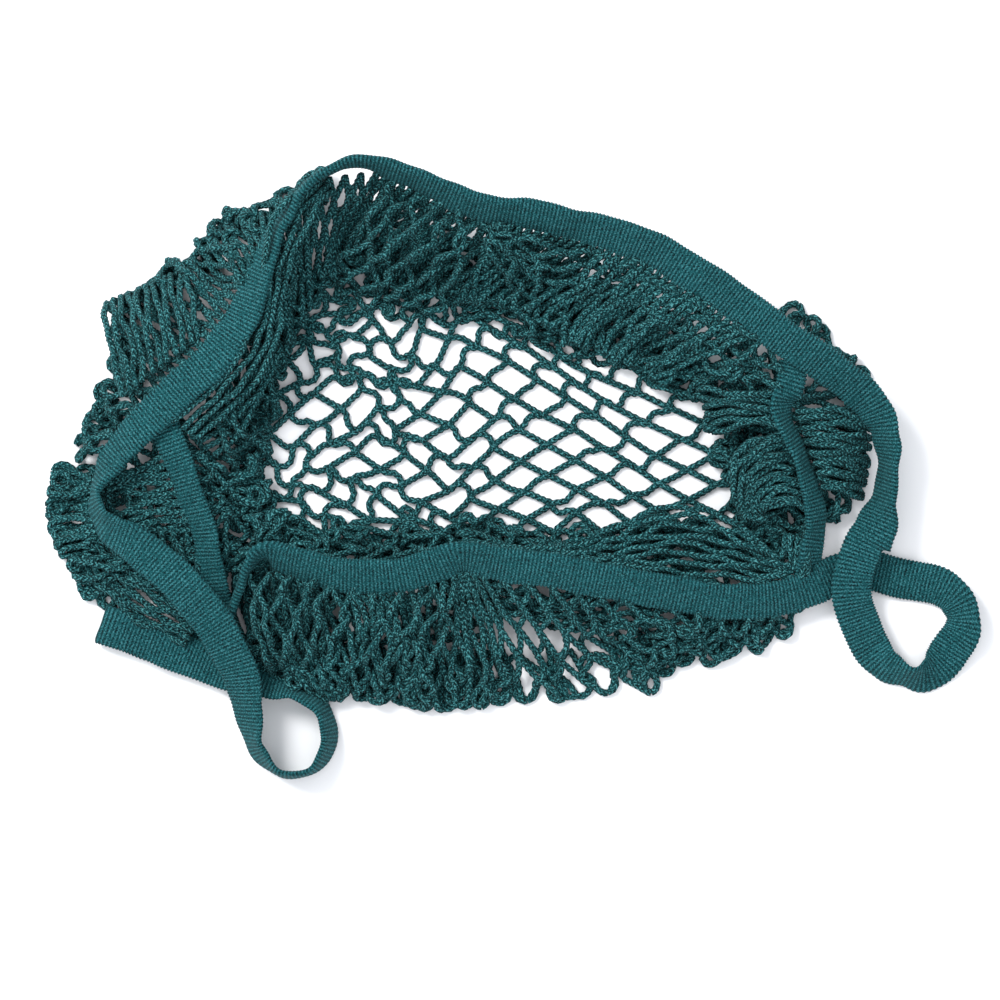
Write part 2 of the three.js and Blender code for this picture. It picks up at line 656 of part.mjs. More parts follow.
const group = new THREE.Group();

function addMesh(name, geometry, colour) {
  const flat = geometry.toNonIndexed();
  flat.computeVertexNormals();
  const mesh = new THREE.Mesh(flat, clothMaterial(colour));
  mesh.name = name;
  group.add(mesh);
}

const bands = [...ringBands(), ...sideBands()];
const bandKeepouts = [];
for (const band of bands) {
  trimEnds(band.stations, clearance / 2);
  const solid = bandGeometry(band.stations, band.section, band.width, band.thickness);
  addMesh(band.name, solid, bandColour);
  bandKeepouts.push(bandGeometry(
    band.stations, band.section, band.width + 2 * clearance, band.thickness + 2 * clearance,
  ));
}

const bandsByName = new Map(bands.map((band) => [band.name, band]));
const netKeepouts = [];
for (const [name, stretch] of Object.entries(netStretches)) {
  const shape = { ...stretch, surface: netSurface(stretch, bandsByName) };
  const { open, columns } = stretch;
  const isOpen = (column, level) => (
    open.levels.includes(level) && column % open.every < 2
    && column >= open.from * columns && column <= open.to * columns
  );
  const net = latticeGeometry({ ...shape, thickness: netThickness, isOpen });
  addMesh(name, clearOf(net, [...bandKeepouts, ...netKeepouts]), netColour);
  netKeepouts.push(latticeGeometry({
    ...shape, thickness: netThickness + 2 * clearance, isOpen: () => false,
  }));
}

const floorNet = latticeGeometry({
  surface: floorSurface(), columns: 14, levels: 12, closed: false, thickness: floorNetThickness,
  isOpen: () => true,
});
addMesh("net_floor", clearOf(floorNet, [...bandKeepouts, ...netKeepouts]), netColour);

// The origin goes to the middle of the underside of the whole heap
const box = new THREE.Box3().setFromObject(group);
const middle = box.getCenter(new THREE.Vector3());
for (const mesh of group.children) {
  mesh.position.set(-middle.x, -middle.y, -box.min.z);
}

export default group;
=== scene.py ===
"""A string shopping bag of knotted cotton net, lying collapsed on a pale surface.

One ribbed, knitted band runs round the bag as far rim, left handle, near rim and right handle, two
short side bands gather the net between the rims, and six stretches of chain-knit net hang from the
bands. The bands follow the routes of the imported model, and only the right handle's loop and the left
handle's folded end lie a little beside them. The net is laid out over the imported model's own surfaces
as knots and strands, and then settled: strands keep their length, push each other apart and come to
rest on the surface. Sheaves of cords lie on it where it is drawn taut, and under it where it lies in
several layers.
"""

import logging
from dataclasses import dataclass, field
from enum import Enum
from typing import Iterator, NamedTuple

import bpy
import numpy as np
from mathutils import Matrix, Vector


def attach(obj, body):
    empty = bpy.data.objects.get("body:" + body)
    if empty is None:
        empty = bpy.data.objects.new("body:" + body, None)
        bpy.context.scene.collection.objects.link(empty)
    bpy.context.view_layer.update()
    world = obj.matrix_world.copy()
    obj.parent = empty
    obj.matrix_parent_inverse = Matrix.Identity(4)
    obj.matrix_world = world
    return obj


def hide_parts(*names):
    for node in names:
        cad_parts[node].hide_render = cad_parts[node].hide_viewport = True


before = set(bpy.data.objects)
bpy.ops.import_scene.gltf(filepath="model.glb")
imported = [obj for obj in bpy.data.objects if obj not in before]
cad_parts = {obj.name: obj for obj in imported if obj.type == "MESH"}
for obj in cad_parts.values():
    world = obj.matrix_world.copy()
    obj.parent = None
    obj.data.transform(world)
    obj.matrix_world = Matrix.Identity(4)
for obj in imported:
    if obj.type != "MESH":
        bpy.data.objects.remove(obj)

log = logging.getLogger("string_bag")

BODY = "root"
MILLIMETRE = 0.001
FULL_TURN = 2 * np.pi

# The spread of the bag in x, y and z, of which every row of a table gives shares, and where the
# middle of the spread lies in the frame
SPREAD = np.array([0.355, 0.235, 0.042])
MIDDLE = np.array([-0.000612457, -0.000437748, 0.0])


class BandRow(NamedTuple):
    """A bend of a band: its place as shares of SPREAD, and its turn about its length in degrees."""

    x: float
    y: float
    rise: float
    lean: float


class NetRow(NamedTuple):
    """The outermost point of a stretch of net, how far it tucks back, and how far it puffs up."""

    x: float
    y: float
    rise: float
    tuck: float
    puff: float


class FloorRow(NamedTuple):
    """A level of the flat net inside the mouth, with its left and right ends."""

    y: float
    left: float
    right: float


class SheafRow(NamedTuple):
    """A section of a sheaf of cords: its first cord's place and its last cord's place."""

    x: float
    y: float
    rise: float
    last_x: float
    last_y: float
    last_rise: float


class SheafPlan(NamedTuple):
    """A sheaf: its net, rows and number of cords, how far they part and sway in mm, and its seed.

    looped says whether bends join its cords in pairs at the end.
    """

    net: str
    rows: tuple
    cords: int
    opening: float
    slack: float
    seed: int
    looped: bool = False


class BoundRun(NamedTuple):
    """A run of a band's edge that binds a net.

    start and end are shares of the band's length, edge is the place across it, drop is how far below
    it the net starts, count is how many rows of the stretch start on it, and columns is how many
    half meshes of net are gathered onto it.
    """

    band: str
    start: float
    end: float
    edge: float
    drop: float
    count: int
    columns: int


def table(kind: type, rows: tuple) -> tuple:
    """Gives the numbers in each row of a table the names of their columns."""
    return tuple(kind(*row) for row in rows)


FAR_RIM_ROWS = table(BandRow, (
    (0.372, 0.128, 0.43, 24),
    (0.312, 0.195, 0.56, 18),
    (0.263, 0.246, 0.62, 15),
    (0.209, 0.304, 0.67, 18),
    (0.141, 0.361, 0.71, 30),
    (0.059, 0.395, 0.73, 42),
    (-0.033, 0.423, 0.76, 50),
    (-0.101, 0.465, 0.78, 62),
    (-0.157, 0.488, 0.79, 80),
    (-0.203, 0.457, 0.77, 96),
    (-0.232, 0.398, 0.74, 112),
    (-0.255, 0.321, 0.71, 136),
    (-0.278, 0.234, 0.68, 158),
    (-0.302, 0.183, 0.66, 168),
    (-0.338, 0.133, 0.62, 172),
    (-0.373, 0.082, 0.56, 166),
    (-0.41, 0.027, 0.48, 140),
))
LEFT_HANDLE_ROWS = table(BandRow, (
    (-0.429, -0.03, 0.44, 104),
    (-0.427, -0.066, 0.46, 112),
    (-0.413, -0.094, 0.49, 140),
    (-0.386, -0.117, 0.52, 166),
    (-0.346, -0.17, 0.53, 176),
    (-0.306, -0.24, 0.48, 176),
    (-0.282, -0.309, 0.38, 164),
    (-0.272, -0.377, 0.27, 140),
    (-0.262, -0.441, 0.2, 112),
    (-0.236, -0.482, 0.19, 98),
    (-0.203, -0.476, 0.19, 98),
    (-0.184, -0.431, 0.19, 110),
    (-0.192, -0.381, 0.19, 112),
    (-0.219, -0.35, 0.17, 114),
    (-0.255, -0.337, 0.14, 142),
    (-0.305, -0.312, 0.12, 180),
    (-0.363, -0.278, 0.13, 180),
    (-0.398, -0.258, 0.14, 180),
    (-0.418, -0.247, 0.13, 180),
    (-0.424, -0.244, 0.085, 180),
    (-0.418, -0.247, 0.04, 180),
    (-0.398, -0.258, 0.03, 180),
    (-0.36, -0.277, 0.03, 180),
    (-0.325, -0.274, 0.06, 190),
    (-0.303, -0.25, 0.12, 224),
))
NEAR_RIM_ROWS = table(BandRow, (
    (-0.291, -0.224, 0.2, 262),
    (-0.28, -0.189, 0.25, 264),
    (-0.27, -0.154, 0.31, 276),
    (-0.253, -0.129, 0.37, 300),
    (-0.226, -0.143, 0.43, 322),
    (-0.18, -0.163, 0.48, 332),
    (-0.12, -0.165, 0.51, 334),
    (-0.074, -0.152, 0.54, 334),
    (-0.044, -0.137, 0.55, 326),
    (-0.01, -0.145, 0.53, 332),
    (0.045, -0.157, 0.49, 336),
    (0.121, -0.178, 0.43, 336),
    (0.2, -0.2, 0.37, 336),
    (0.265, -0.208, 0.3, 338),
    (0.308, -0.197, 0.25, 340),
))
RIGHT_HANDLE_ROWS = table(BandRow, (
    (0.334, -0.179, 0.19, 346),
    (0.356, -0.163, 0.11, 354),
    (0.382, -0.158, 0.07, 360),
    (0.412, -0.166, 0.05, 360),
    (0.44, -0.176, 0.07, 352),
    (0.464, -0.187, 0.1, 344),
    (0.479, -0.204, 0.13, 330),
    (0.487, -0.231, 0.13, 318),
    (0.486, -0.256, 0.11, 332),
    (0.477, -0.281, 0.07, 350),
    (0.466, -0.305, 0.06, 370),
    (0.449, -0.325, 0.09, 396),
    (0.428, -0.329, 0.14, 418),
    (0.405, -0.312, 0.14, 402),
    (0.389, -0.281, 0.12, 378),
    (0.373, -0.228, 0.16, 360),
    (0.369, -0.19, 0.21, 360),
    (0.371, -0.155, 0.24, 360),
    (0.378, -0.122, 0.24, 368),
    (0.39, -0.086, 0.24, 394),
    (0.401, -0.041, 0.25, 424),
    (0.406, 0.01, 0.28, 430),
    (0.403, 0.053, 0.32, 420),
    (0.392, 0.094, 0.38, 399),
))
RIGHT_SIDE_ROWS = table(BandRow, (
    (0.318, -0.195, 0.13, 156),
    (0.321, -0.162, 0.19, 146),
    (0.325, -0.128, 0.27, 138),
    (0.329, -0.09, 0.29, 132),
    (0.326, -0.037, 0.33, 128),
    (0.317, 0.008, 0.36, 122),
    (0.304, 0.05, 0.38, 118),
    (0.294, 0.082, 0.4, 120),
    (0.292, 0.11, 0.42, 140),
    (0.3, 0.137, 0.46, 164),
    (0.306, 0.172, 0.44, 172),
))
LEFT_SIDE_ROWS = table(BandRow, (
    (-0.36, 0.088, 0.49, 172),
    (-0.352, 0.052, 0.5, 166),
    (-0.34, 0.005, 0.47, 158),
    (-0.328, -0.045, 0.42, 150),
    (-0.318, -0.093, 0.36, 148),
    (-0.312, -0.138, 0.29, 150),
    (-0.306, -0.185, 0.23, 156),
    (-0.301, -0.222, 0.14, 164),
))

WALL_ROWS = table(NetRow, (
    (0.236, -0.122, 0.19, 0.35, 0.02),
    (0.247, -0.045, 0.19, 0.4, 0.05),
    (0.23, 0.026, 0.19, 0.4, 0.05),
    (0.219, 0.085, 0.19, 0.4, 0.05),
    (0.198, 0.127, 0.21, 0.4, 0.02),
    (0.146, 0.152, 0.21, 0.45, 0.02),
    (0.085, 0.191, 0.21, 0.5, 0),
    (0.017, 0.234, 0.21, 0.5, 0),
    (-0.044, 0.274, 0.21, 0.5, 0),
    (-0.104, 0.289, 0.21, 0.4, 0),
    (-0.162, 0.334, 0.21, 0.3, 0),
    (-0.196, 0.286, 0.19, 0.2, 0),
    (-0.218, 0.21, 0.19, 0.3, 0),
    (-0.245, 0.13, 0.19, 0.3, 0),
    (-0.255, 0.066, 0.19, 0.3, 0.02),
    (-0.262, 0.006, 0.19, 0.3, 0.05),
    (-0.259, -0.05, 0.18, 0.3, 0.05),
    (-0.241, -0.084, 0.18, 0.3, 0.02),
    (-0.186, -0.103, 0.18, 0.2, 0),
    (-0.108, -0.111, 0.18, 0.2, 0),
    (-0.036, -0.09, 0.18, 0.1, 0),
    (0.043, -0.106, 0.19, 0.3, 0),
    (0.114, -0.096, 0.19, 0.35, 0),
    (0.177, -0.085, 0.19, 0.35, 0.02),
))
BULGE_ROWS = table(NetRow, (
    (-0.198, 0.478, 0.33, 0, 0),
    (-0.245, 0.414, 0.29, 0.1, 0.02),
    (-0.297, 0.398, 0.24, 0.2, 0.05),
    (-0.329, 0.341, 0.19, 0.3, 0.1),
    (-0.373, 0.331, 0.17, 0.35, 0.14),
    (-0.42, 0.277, 0.14, 0.4, 0.17),
    (-0.411, 0.202, 0.14, 0.4, 0.17),
    (-0.422, 0.122, 0.12, 0.4, 0.12),
    (-0.451, 0.042, 0.1, 0.2, 0.05),
))
LEFT_FAN_ROWS = table(NetRow, (
    (-0.466, 0.002, 0.12, 0.3, 0.07),
    (-0.489, -0.045, 0.12, 0.4, 0.07),
    (-0.5, -0.085, 0.1, 0.45, 0.07),
    (-0.481, -0.128, 0.1, 0.45, 0.07),
    (-0.456, -0.163, 0.07, 0.4, 0.05),
    (-0.426, -0.189, 0.07, 0.3, 0.02),
))
SKIRT_ROWS = table(NetRow, (
    (-0.255, -0.288, 0.1, 0.2, 0.02),
    (-0.217, -0.339, 0.1, 0.35, 0.1),
    (-0.178, -0.358, 0.1, 0.4, 0.12),
    (-0.122, -0.353, 0.1, 0.4, 0.14),
    (-0.078, -0.374, 0.1, 0.45, 0.14),
    (-0.034, -0.368, 0.1, 0.45, 0.12),
    (0.011, -0.371, 0.1, 0.45, 0.1),
    (0.049, -0.377, 0.1, 0.45, 0.07),
    (0.097, -0.358, 0.08, 0.4, 0.07),
    (0.148, -0.323, 0.08, 0.35, 0.05),
    (0.198, -0.289, 0.07, 0.3, 0.02),
    (0.243, -0.262, 0.07, 0.2, 0),
    (0.278, -0.243, 0.07, 0.1, 0),
))
RIGHT_FAN_ROWS = table(NetRow, (
    (0.349, -0.079, 0.12, 0.1, 0),
    (0.363, -0.045, 0.12, 0.25, 0.02),
    (0.382, -0.017, 0.12, 0.35, 0.05),
    (0.392, 0.015, 0.12, 0.4, 0.05),
    (0.396, 0.044, 0.12, 0.4, 0.05),
    (0.39, 0.082, 0.12, 0.4, 0.05),
    (0.384, 0.127, 0.12, 0.4, 0.02),
    (0.373, 0.168, 0.12, 0.4, 0.02),
    (0.352, 0.203, 0.12, 0.4, 0.02),
    (0.325, 0.245, 0.12, 0.35, 0.02),
    (0.293, 0.261, 0.12, 0.2, 0.02),
))
# Sheaves of cords that run side by side where the net is drawn taut
MOUTH_NEAR_SHEAF = table(SheafRow, (
    (-0.040, -0.110, 0.52, -0.010, -0.124, 0.53),
    (0.035, -0.122, 0.42, 0.058, -0.140, 0.50),
    (0.105, -0.100, 0.30, 0.125, -0.158, 0.44),
    (0.170, -0.056, 0.28, 0.190, -0.174, 0.38),
    (0.225, -0.070, 0.28, 0.240, -0.182, 0.33),
    (0.268, -0.108, 0.27, 0.290, -0.188, 0.30),
    (0.293, -0.140, 0.26, 0.318, -0.168, 0.28),
    (0.300, -0.098, 0.27, 0.322, -0.110, 0.30),
))
MOUTH_RIGHT_SHEAF = table(SheafRow, (
    (0.294, 0.063, 0.38, 0.319, -0.060, 0.34),
    (0.264, 0.049, 0.46, 0.304, -0.050, 0.40),
    (0.244, 0.017, 0.44, 0.287, -0.052, 0.40),
    (0.243, -0.028, 0.34, 0.275, -0.061, 0.34),
    (0.253, -0.074, 0.20, 0.274, -0.077, 0.24),
    (0.267, -0.100, 0.05, 0.278, -0.090, 0.10),
))
MOUTH_UPPER_SHEAF = table(SheafRow, (
    (0.222, 0.124, 0.06, 0.238, 0.069, 0.06),
    (0.206, 0.130, 0.22, 0.222, 0.063, 0.20),
    (0.230, 0.128, 0.44, 0.245, 0.073, 0.40),
    (0.259, 0.125, 0.50, 0.270, 0.076, 0.46),
    (0.285, 0.117, 0.46, 0.293, 0.073, 0.43),
))
FAR_LEFT_SHEAF = table(SheafRow, (
    (-0.196, 0.464, 0.72, -0.178, 0.446, 0.68),
    (-0.215, 0.440, 0.84, -0.193, 0.421, 0.78),
    (-0.235, 0.407, 0.86, -0.208, 0.388, 0.79),
    (-0.249, 0.361, 0.85, -0.219, 0.350, 0.76),
    (-0.251, 0.305, 0.78, -0.230, 0.293, 0.70),
    (-0.256, 0.254, 0.74, -0.234, 0.238, 0.66),
    (-0.273, 0.197, 0.70, -0.249, 0.176, 0.61),
    (-0.303, 0.136, 0.65, -0.275, 0.116, 0.56),
    (-0.346, 0.076, 0.60, -0.325, 0.053, 0.51),
))
BULGE_SHEAF = table(SheafRow, (
    (-0.414, 0.254, 0.06, -0.344, 0.305, 0.08),
    (-0.422, 0.269, 0.16, -0.335, 0.326, 0.20),
    (-0.420, 0.238, 0.40, -0.331, 0.299, 0.46),
    (-0.409, 0.184, 0.56, -0.325, 0.254, 0.60),
    (-0.401, 0.117, 0.60, -0.320, 0.210, 0.62),
))
BULGE_LOOPS_SHEAF = table(SheafRow, (
    (-0.304, 0.369, 0.06, -0.272, 0.398, 0.08),
    (-0.309, 0.385, 0.14, -0.267, 0.419, 0.18),
    (-0.297, 0.356, 0.44, -0.255, 0.395, 0.50),
    (-0.283, 0.325, 0.62, -0.249, 0.363, 0.66),
    (-0.272, 0.296, 0.66, -0.247, 0.334, 0.68),
))
FAN_RIGHT_SHEAF = table(SheafRow, (
    (0.308, 0.098, 0.34, 0.335, -0.020, 0.30),
    (0.335, 0.098, 0.40, 0.352, -0.026, 0.34),
    (0.365, 0.089, 0.34, 0.367, -0.033, 0.26),
    (0.390, 0.076, 0.14, 0.378, -0.039, 0.10),
))
FAR_FALL_SHEAF = table(SheafRow, (
    (-0.120, 0.471, 0.62, -0.025, 0.420, 0.60),
    (-0.137, 0.404, 0.66, -0.044, 0.350, 0.62),
    (-0.160, 0.341, 0.40, -0.065, 0.283, 0.34),
    (-0.171, 0.299, 0.12, -0.076, 0.251, 0.12),
))
FAR_CORNER_SHEAF = table(SheafRow, (
    (-0.027, 0.420, 0.60, 0.004, 0.407, 0.60),
    (-0.006, 0.341, 0.58, 0.030, 0.334, 0.56),
    (0.017, 0.264, 0.30, 0.057, 0.267, 0.28),
    (0.046, 0.194, 0.14, 0.095, 0.213, 0.14),
))
FAR_SWAG_SHEAF = table(SheafRow, (
    (-0.008, 0.390, 0.70, -0.019, 0.369, 0.60),
    (0.034, 0.356, 0.66, 0.027, 0.315, 0.48),
    (0.082, 0.353, 0.62, 0.078, 0.299, 0.42),
    (0.131, 0.328, 0.58, 0.127, 0.274, 0.38),
    (0.181, 0.286, 0.55, 0.169, 0.238, 0.36),
))
FAR_RIGHT_SHEAF = table(SheafRow, (
    (0.186, 0.299, 0.58, 0.165, 0.258, 0.40),
    (0.226, 0.258, 0.58, 0.200, 0.207, 0.40),
    (0.262, 0.213, 0.56, 0.234, 0.156, 0.42),
    (0.287, 0.178, 0.52, 0.264, 0.127, 0.42),
    (0.300, 0.152, 0.45, 0.285, 0.117, 0.42),
))
LEFT_CORNER_SHEAF = table(SheafRow, (
    (-0.255, 0.168, 0.56, -0.236, 0.191, 0.50),
    (-0.283, 0.127, 0.52, -0.255, 0.124, 0.46),
    (-0.314, 0.089, 0.48, -0.278, 0.066, 0.40),
    (-0.338, 0.063, 0.44, -0.306, 0.025, 0.36),
))
LEFT_UNDER_SHEAF = table(SheafRow, (
    (-0.432, 0.009, 0.30, -0.346, 0.082, 0.34),
    (-0.414, -0.045, 0.28, -0.325, 0.031, 0.30),
    (-0.378, -0.112, 0.26, -0.306, -0.045, 0.26),
    (-0.344, -0.173, 0.22, -0.287, -0.135, 0.22),
))
SKIRT_FALL_SHEAF = table(SheafRow, (
    (-0.262, -0.163, 0.34, -0.055, -0.151, 0.40),
    (-0.266, -0.211, 0.44, -0.059, -0.215, 0.44),
    (-0.255, -0.285, 0.34, -0.072, -0.288, 0.34),
    (-0.232, -0.339, 0.12, -0.084, -0.345, 0.12),
))
FAN_LOWER_SHEAF = table(SheafRow, (
    (-0.435, -0.077, 0.16, -0.447, -0.141, 0.10),
    (-0.399, -0.120, 0.20, -0.418, -0.200, 0.14),
    (-0.363, -0.163, 0.22, -0.382, -0.240, 0.16),
    (-0.316, -0.224, 0.22, -0.335, -0.272, 0.18),
))
NEAR_CORNER_SHEAF = table(SheafRow, (
    (-0.325, -0.090, 0.10, -0.268, -0.122, 0.20),
    (-0.327, -0.151, 0.08, -0.266, -0.173, 0.16),
    (-0.321, -0.215, 0.06, -0.262, -0.240, 0.12),
    (-0.300, -0.281, 0.05, -0.251, -0.297, 0.08),
))
SKIRT_UNDER_SHEAF = table(SheafRow, (
    (-0.068, -0.144, 0.34, -0.072, -0.189, 0.24),
    (-0.004, -0.173, 0.32, -0.011, -0.221, 0.20),
    (0.080, -0.195, 0.26, 0.074, -0.246, 0.12),
    (0.173, -0.211, 0.20, 0.167, -0.285, 0.08),
    (0.278, -0.227, 0.14, 0.270, -0.256, 0.08),
))
SKIRT_BASE_SHEAF = table(SheafRow, (
    (-0.278, -0.160, 0.07, -0.266, -0.301, 0.06),
    (-0.215, -0.186, 0.08, -0.217, -0.326, 0.06),
    (-0.141, -0.192, 0.08, -0.143, -0.339, 0.06),
    (-0.068, -0.192, 0.08, -0.070, -0.348, 0.06),
    (-0.019, -0.205, 0.07, -0.030, -0.326, 0.06),
))
FAR_BASE_SHEAF = table(SheafRow, (
    (-0.168, 0.449, 0.08, -0.196, 0.325, 0.06),
    (-0.110, 0.414, 0.08, -0.137, 0.293, 0.06),
    (-0.036, 0.372, 0.08, -0.059, 0.264, 0.06),
    (0.043, 0.325, 0.08, 0.017, 0.226, 0.06),
    (0.133, 0.264, 0.08, 0.105, 0.178, 0.06),
    (0.219, 0.191, 0.07, 0.196, 0.127, 0.06),
))
RIGHT_BASE_SHEAF = table(SheafRow, (
    (0.247, 0.210, 0.07, 0.312, 0.168, 0.07),
    (0.259, 0.120, 0.07, 0.308, 0.095, 0.07),
    (0.278, 0.015, 0.07, 0.316, -0.017, 0.07),
    (0.285, -0.077, 0.07, 0.325, -0.090, 0.07),
    (0.276, -0.135, 0.06, 0.327, -0.141, 0.06),
))

SHEAF_PLANS = table(SheafPlan, (
    ("net_wall_inner", MOUTH_NEAR_SHEAF, 9, 0.8, 0.6, 21),
    ("net_wall_inner", MOUTH_RIGHT_SHEAF, 12, 0.5, 0.6, 22),
    ("net_wall_inner", MOUTH_UPPER_SHEAF, 6, 0.5, 0.6, 23),
    ("net_wall_inner", FAR_LEFT_SHEAF, 4, 0.3, 0.6, 24),
    ("net_wall_inner", FAR_FALL_SHEAF, 9, 2.3, 1.4, 28),
    ("net_wall_inner", FAR_CORNER_SHEAF, 4, 2.2, 1.4, 29),
    ("net_wall_inner", FAR_SWAG_SHEAF, 5, 1.7, 1.2, 30),
    ("net_wall_inner", FAR_RIGHT_SHEAF, 5, 1.5, 1.2, 31),
    ("net_wall_inner", NEAR_CORNER_SHEAF, 9, 1.2, 0.6, 36),
    ("net_floor", FAR_BASE_SHEAF, 8, 2.4, 1.6, 38),
    ("net_floor", RIGHT_BASE_SHEAF, 8, 1.8, 1.4, 40),
    ("net_skirt_front", SKIRT_BASE_SHEAF, 9, 2.4, 1.6, 39),
    ("net_wall_inner", LEFT_CORNER_SHEAF, 5, 0.5, 0.6, 32),
    ("net_fan_left", LEFT_UNDER_SHEAF, 12, 1.4, 0.6, 33),
    ("net_fan_left", FAN_LOWER_SHEAF, 11, 0.8, 0.6, 35),
    ("net_skirt_front", SKIRT_FALL_SHEAF, 17, 1.9, 1.3, 34, True),
    ("net_skirt_front", SKIRT_UNDER_SHEAF, 8, 2.4, 1.7, 37),
    ("net_bulge_left", BULGE_SHEAF, 11, 0.5, 0.6, 25),
    ("net_bulge_left", BULGE_LOOPS_SHEAF, 6, 0.5, 0.6, 26),
    ("net_fan_right", FAN_RIGHT_SHEAF, 14, 0.5, 0.6, 27, True),
))

FLOOR_ROWS = table(FloorRow, (
    (-0.173, -0.215, 0.207),
    (-0.117, -0.245, 0.251),
    (-0.053, -0.264, 0.251),
    (0.01, -0.268, 0.244),
    (0.082, -0.266, 0.240),
    (0.154, -0.258, 0.226),
    (0.218, -0.246, 0.198),
    (0.274, -0.222, 0.140),
    (0.318, -0.200, 0.070),
))


def placed(x: float, y: float, rise: float) -> np.ndarray:
    """The point in the frame for a table's shares of the spread, in metres."""
    return np.array([x, y, rise]) * SPREAD + MIDDLE


def placed_rows(rows: tuple) -> np.ndarray:
    """The points in the frame for the rows of a table, in metres."""
    return np.array([placed(row.x, row.y, row.rise) for row in rows])


def unit(vectors: np.ndarray) -> np.ndarray:
    """The vectors at length one, along the last axis."""
    return vectors / np.maximum(np.linalg.norm(vectors, axis=-1, keepdims=True), 1e-12)


def eased(share: np.ndarray) -> np.ndarray:
    """A share from 0 to 1 with a soft start and a soft end."""
    held = np.clip(share, 0, 1)
    return held * held * (3 - 2 * held)


def lengths_along(points: np.ndarray) -> np.ndarray:
    """The length gone at each point of a line of points."""
    steps = np.linalg.norm(np.diff(points, axis=0), axis=1)
    return np.concatenate([[0], np.cumsum(steps)])


def curved(
    start: np.ndarray, end: np.ndarray, leaving: np.ndarray, reaching: np.ndarray, part: np.ndarray
) -> np.ndarray:
    """Points on smooth curves that each run from a start to an end.

    Args:
        start: Where each curve starts.
        end: Where each curve ends.
        leaving: Its direction and speed at the start.
        reaching: Its direction and speed at the end.
        part: How far along its curve each point lies, from 0 to 1.

    Returns:
        The points.
    """
    squared = part * part
    cubed = squared * part
    return (
        (2 * cubed - 3 * squared + 1) * start
        + (cubed - 2 * squared + part) * leaving
        + (3 * squared - 2 * cubed) * end
        + (cubed - squared) * reaching
    )


@dataclass
class Drift:
    """Smooth random values over a stretch of net, always the same for the same seed."""

    seed: int
    along: int
    down: int
    closed: bool

    def at(self, u: np.ndarray, v: np.ndarray) -> np.ndarray:
        """The values at places on the net.

        Args:
            u: Places along the bound edge, from 0 to 1.
            v: Places away from it, from 0 to 1.

        Returns:
            A value from -1 to 1 for each place.
        """
        table = np.random.default_rng(self.seed).uniform(-1, 1, (self.along + 1, self.down + 2))
        if self.closed:
            table[-1] = table[0]
        place_u = np.clip(u % 1 if self.closed else u, 0, 1) * self.along
        place_v = np.clip(v, 0, 1) * self.down
        first_u = np.minimum(place_u.astype(int), self.along - 1)
        first_v = place_v.astype(int)
        part_u, part_v = eased(place_u - first_u), eased(place_v - first_v)
        near = table[first_u, first_v] * (1 - part_u) + table[first_u + 1, first_v] * part_u
        far = table[first_u, first_v + 1] * (1 - part_u) + table[first_u + 1, first_v + 1] * part_u
        return near * (1 - part_v) + far * part_v


class Knots(Enum):
    """How a curve spaces its way through its points."""

    CENTRIPETAL = "centripetal"
    EVEN = "even"


@dataclass
class SmoothCurve:
    """A smooth curve through points, open or closed."""

    points: np.ndarray
    closed: bool = False
    knots: Knots = Knots.EVEN

    def at(self, shares: np.ndarray) -> np.ndarray:
        """Points on the curve.

        Args:
            shares: Places from 0 to 1, the same step from each point to the next.

        Returns:
            One point for each share.
        """
        points = self.points
        count = len(points)
        spans = count if self.closed else count - 1
        place = np.clip(shares, 0, 1) * spans
        first = np.minimum(np.floor(place).astype(int), spans - 1)
        part = (place - first)[:, None]
        if self.closed:
            four = [points[(first + step) % count] for step in (-1, 0, 1, 2)]
        else:
            ends = [2 * points[:1] - points[1:2], points, 2 * points[-1:] - points[-2:-1]]
            led = np.concatenate(ends)
            four = [led[first + step] for step in range(4)]
        leaving, reaching = self._tangents(*four)
        return curved(four[1], four[2], leaving, reaching, part)

    def _tangents(
        self, before: np.ndarray, start: np.ndarray, end: np.ndarray, after: np.ndarray
    ) -> tuple[np.ndarray, np.ndarray]:
        """The curve's direction and speed at the two ends of a span.

        Args:
            before: The point before the span.
            start: The span's first point.
            end: The span's last point.
            after: The point after the span.

        Returns:
            The tangents at start and at end.
        """
        if self.knots is Knots.EVEN:
            return (end - before) / 2, (after - start) / 2
        first = np.sqrt(np.linalg.norm(start - before, axis=1, keepdims=True))
        second = np.sqrt(np.linalg.norm(end - start, axis=1, keepdims=True))
        third = np.sqrt(np.linalg.norm(after - end, axis=1, keepdims=True))
        chord = (end - start) / second
        leaving = (start - before) / first - (end - before) / (first + second) + chord
        reaching = chord - (after - start) / (second + third) + (after - end) / third
        return leaving * second, reaching * second


@dataclass
class MeshParts:
    """Corners, faces and the cloth map of a mesh that is still being put together."""

    corners: np.ndarray
    faces: list
    map_places: np.ndarray

    def made(self, name: str, map_name: str) -> bpy.types.Object:
        """Makes the mesh object.

        Args:
            name: The object's name.
            map_name: The name of the cloth map.

        Returns:
            The object, linked to the scene, with smooth faces.
        """
        mesh = bpy.data.meshes.new(name)
        mesh.vertices.add(len(self.corners))
        mesh.vertices.foreach_set("co", self.corners.astype(np.float32).ravel())
        order = np.concatenate([group.ravel() for group in self.faces]).astype(np.int32)
        sides = np.concatenate([np.full(len(group), group.shape[1]) for group in self.faces])
        starts = (np.cumsum(sides) - sides).astype(np.int32)
        mesh.loops.add(len(order))
        mesh.loops.foreach_set("vertex_index", order)
        mesh.polygons.add(len(starts))
        mesh.polygons.foreach_set("loop_start", starts)
        mesh.update(calc_edges=True)
        layer = mesh.uv_layers.new(name=map_name)
        layer.uv.foreach_set("vector", self.map_places.astype(np.float32).ravel())
        mesh.shade_smooth()
        thing = bpy.data.objects.new(name, mesh)
        bpy.context.scene.collection.objects.link(thing)
        return thing


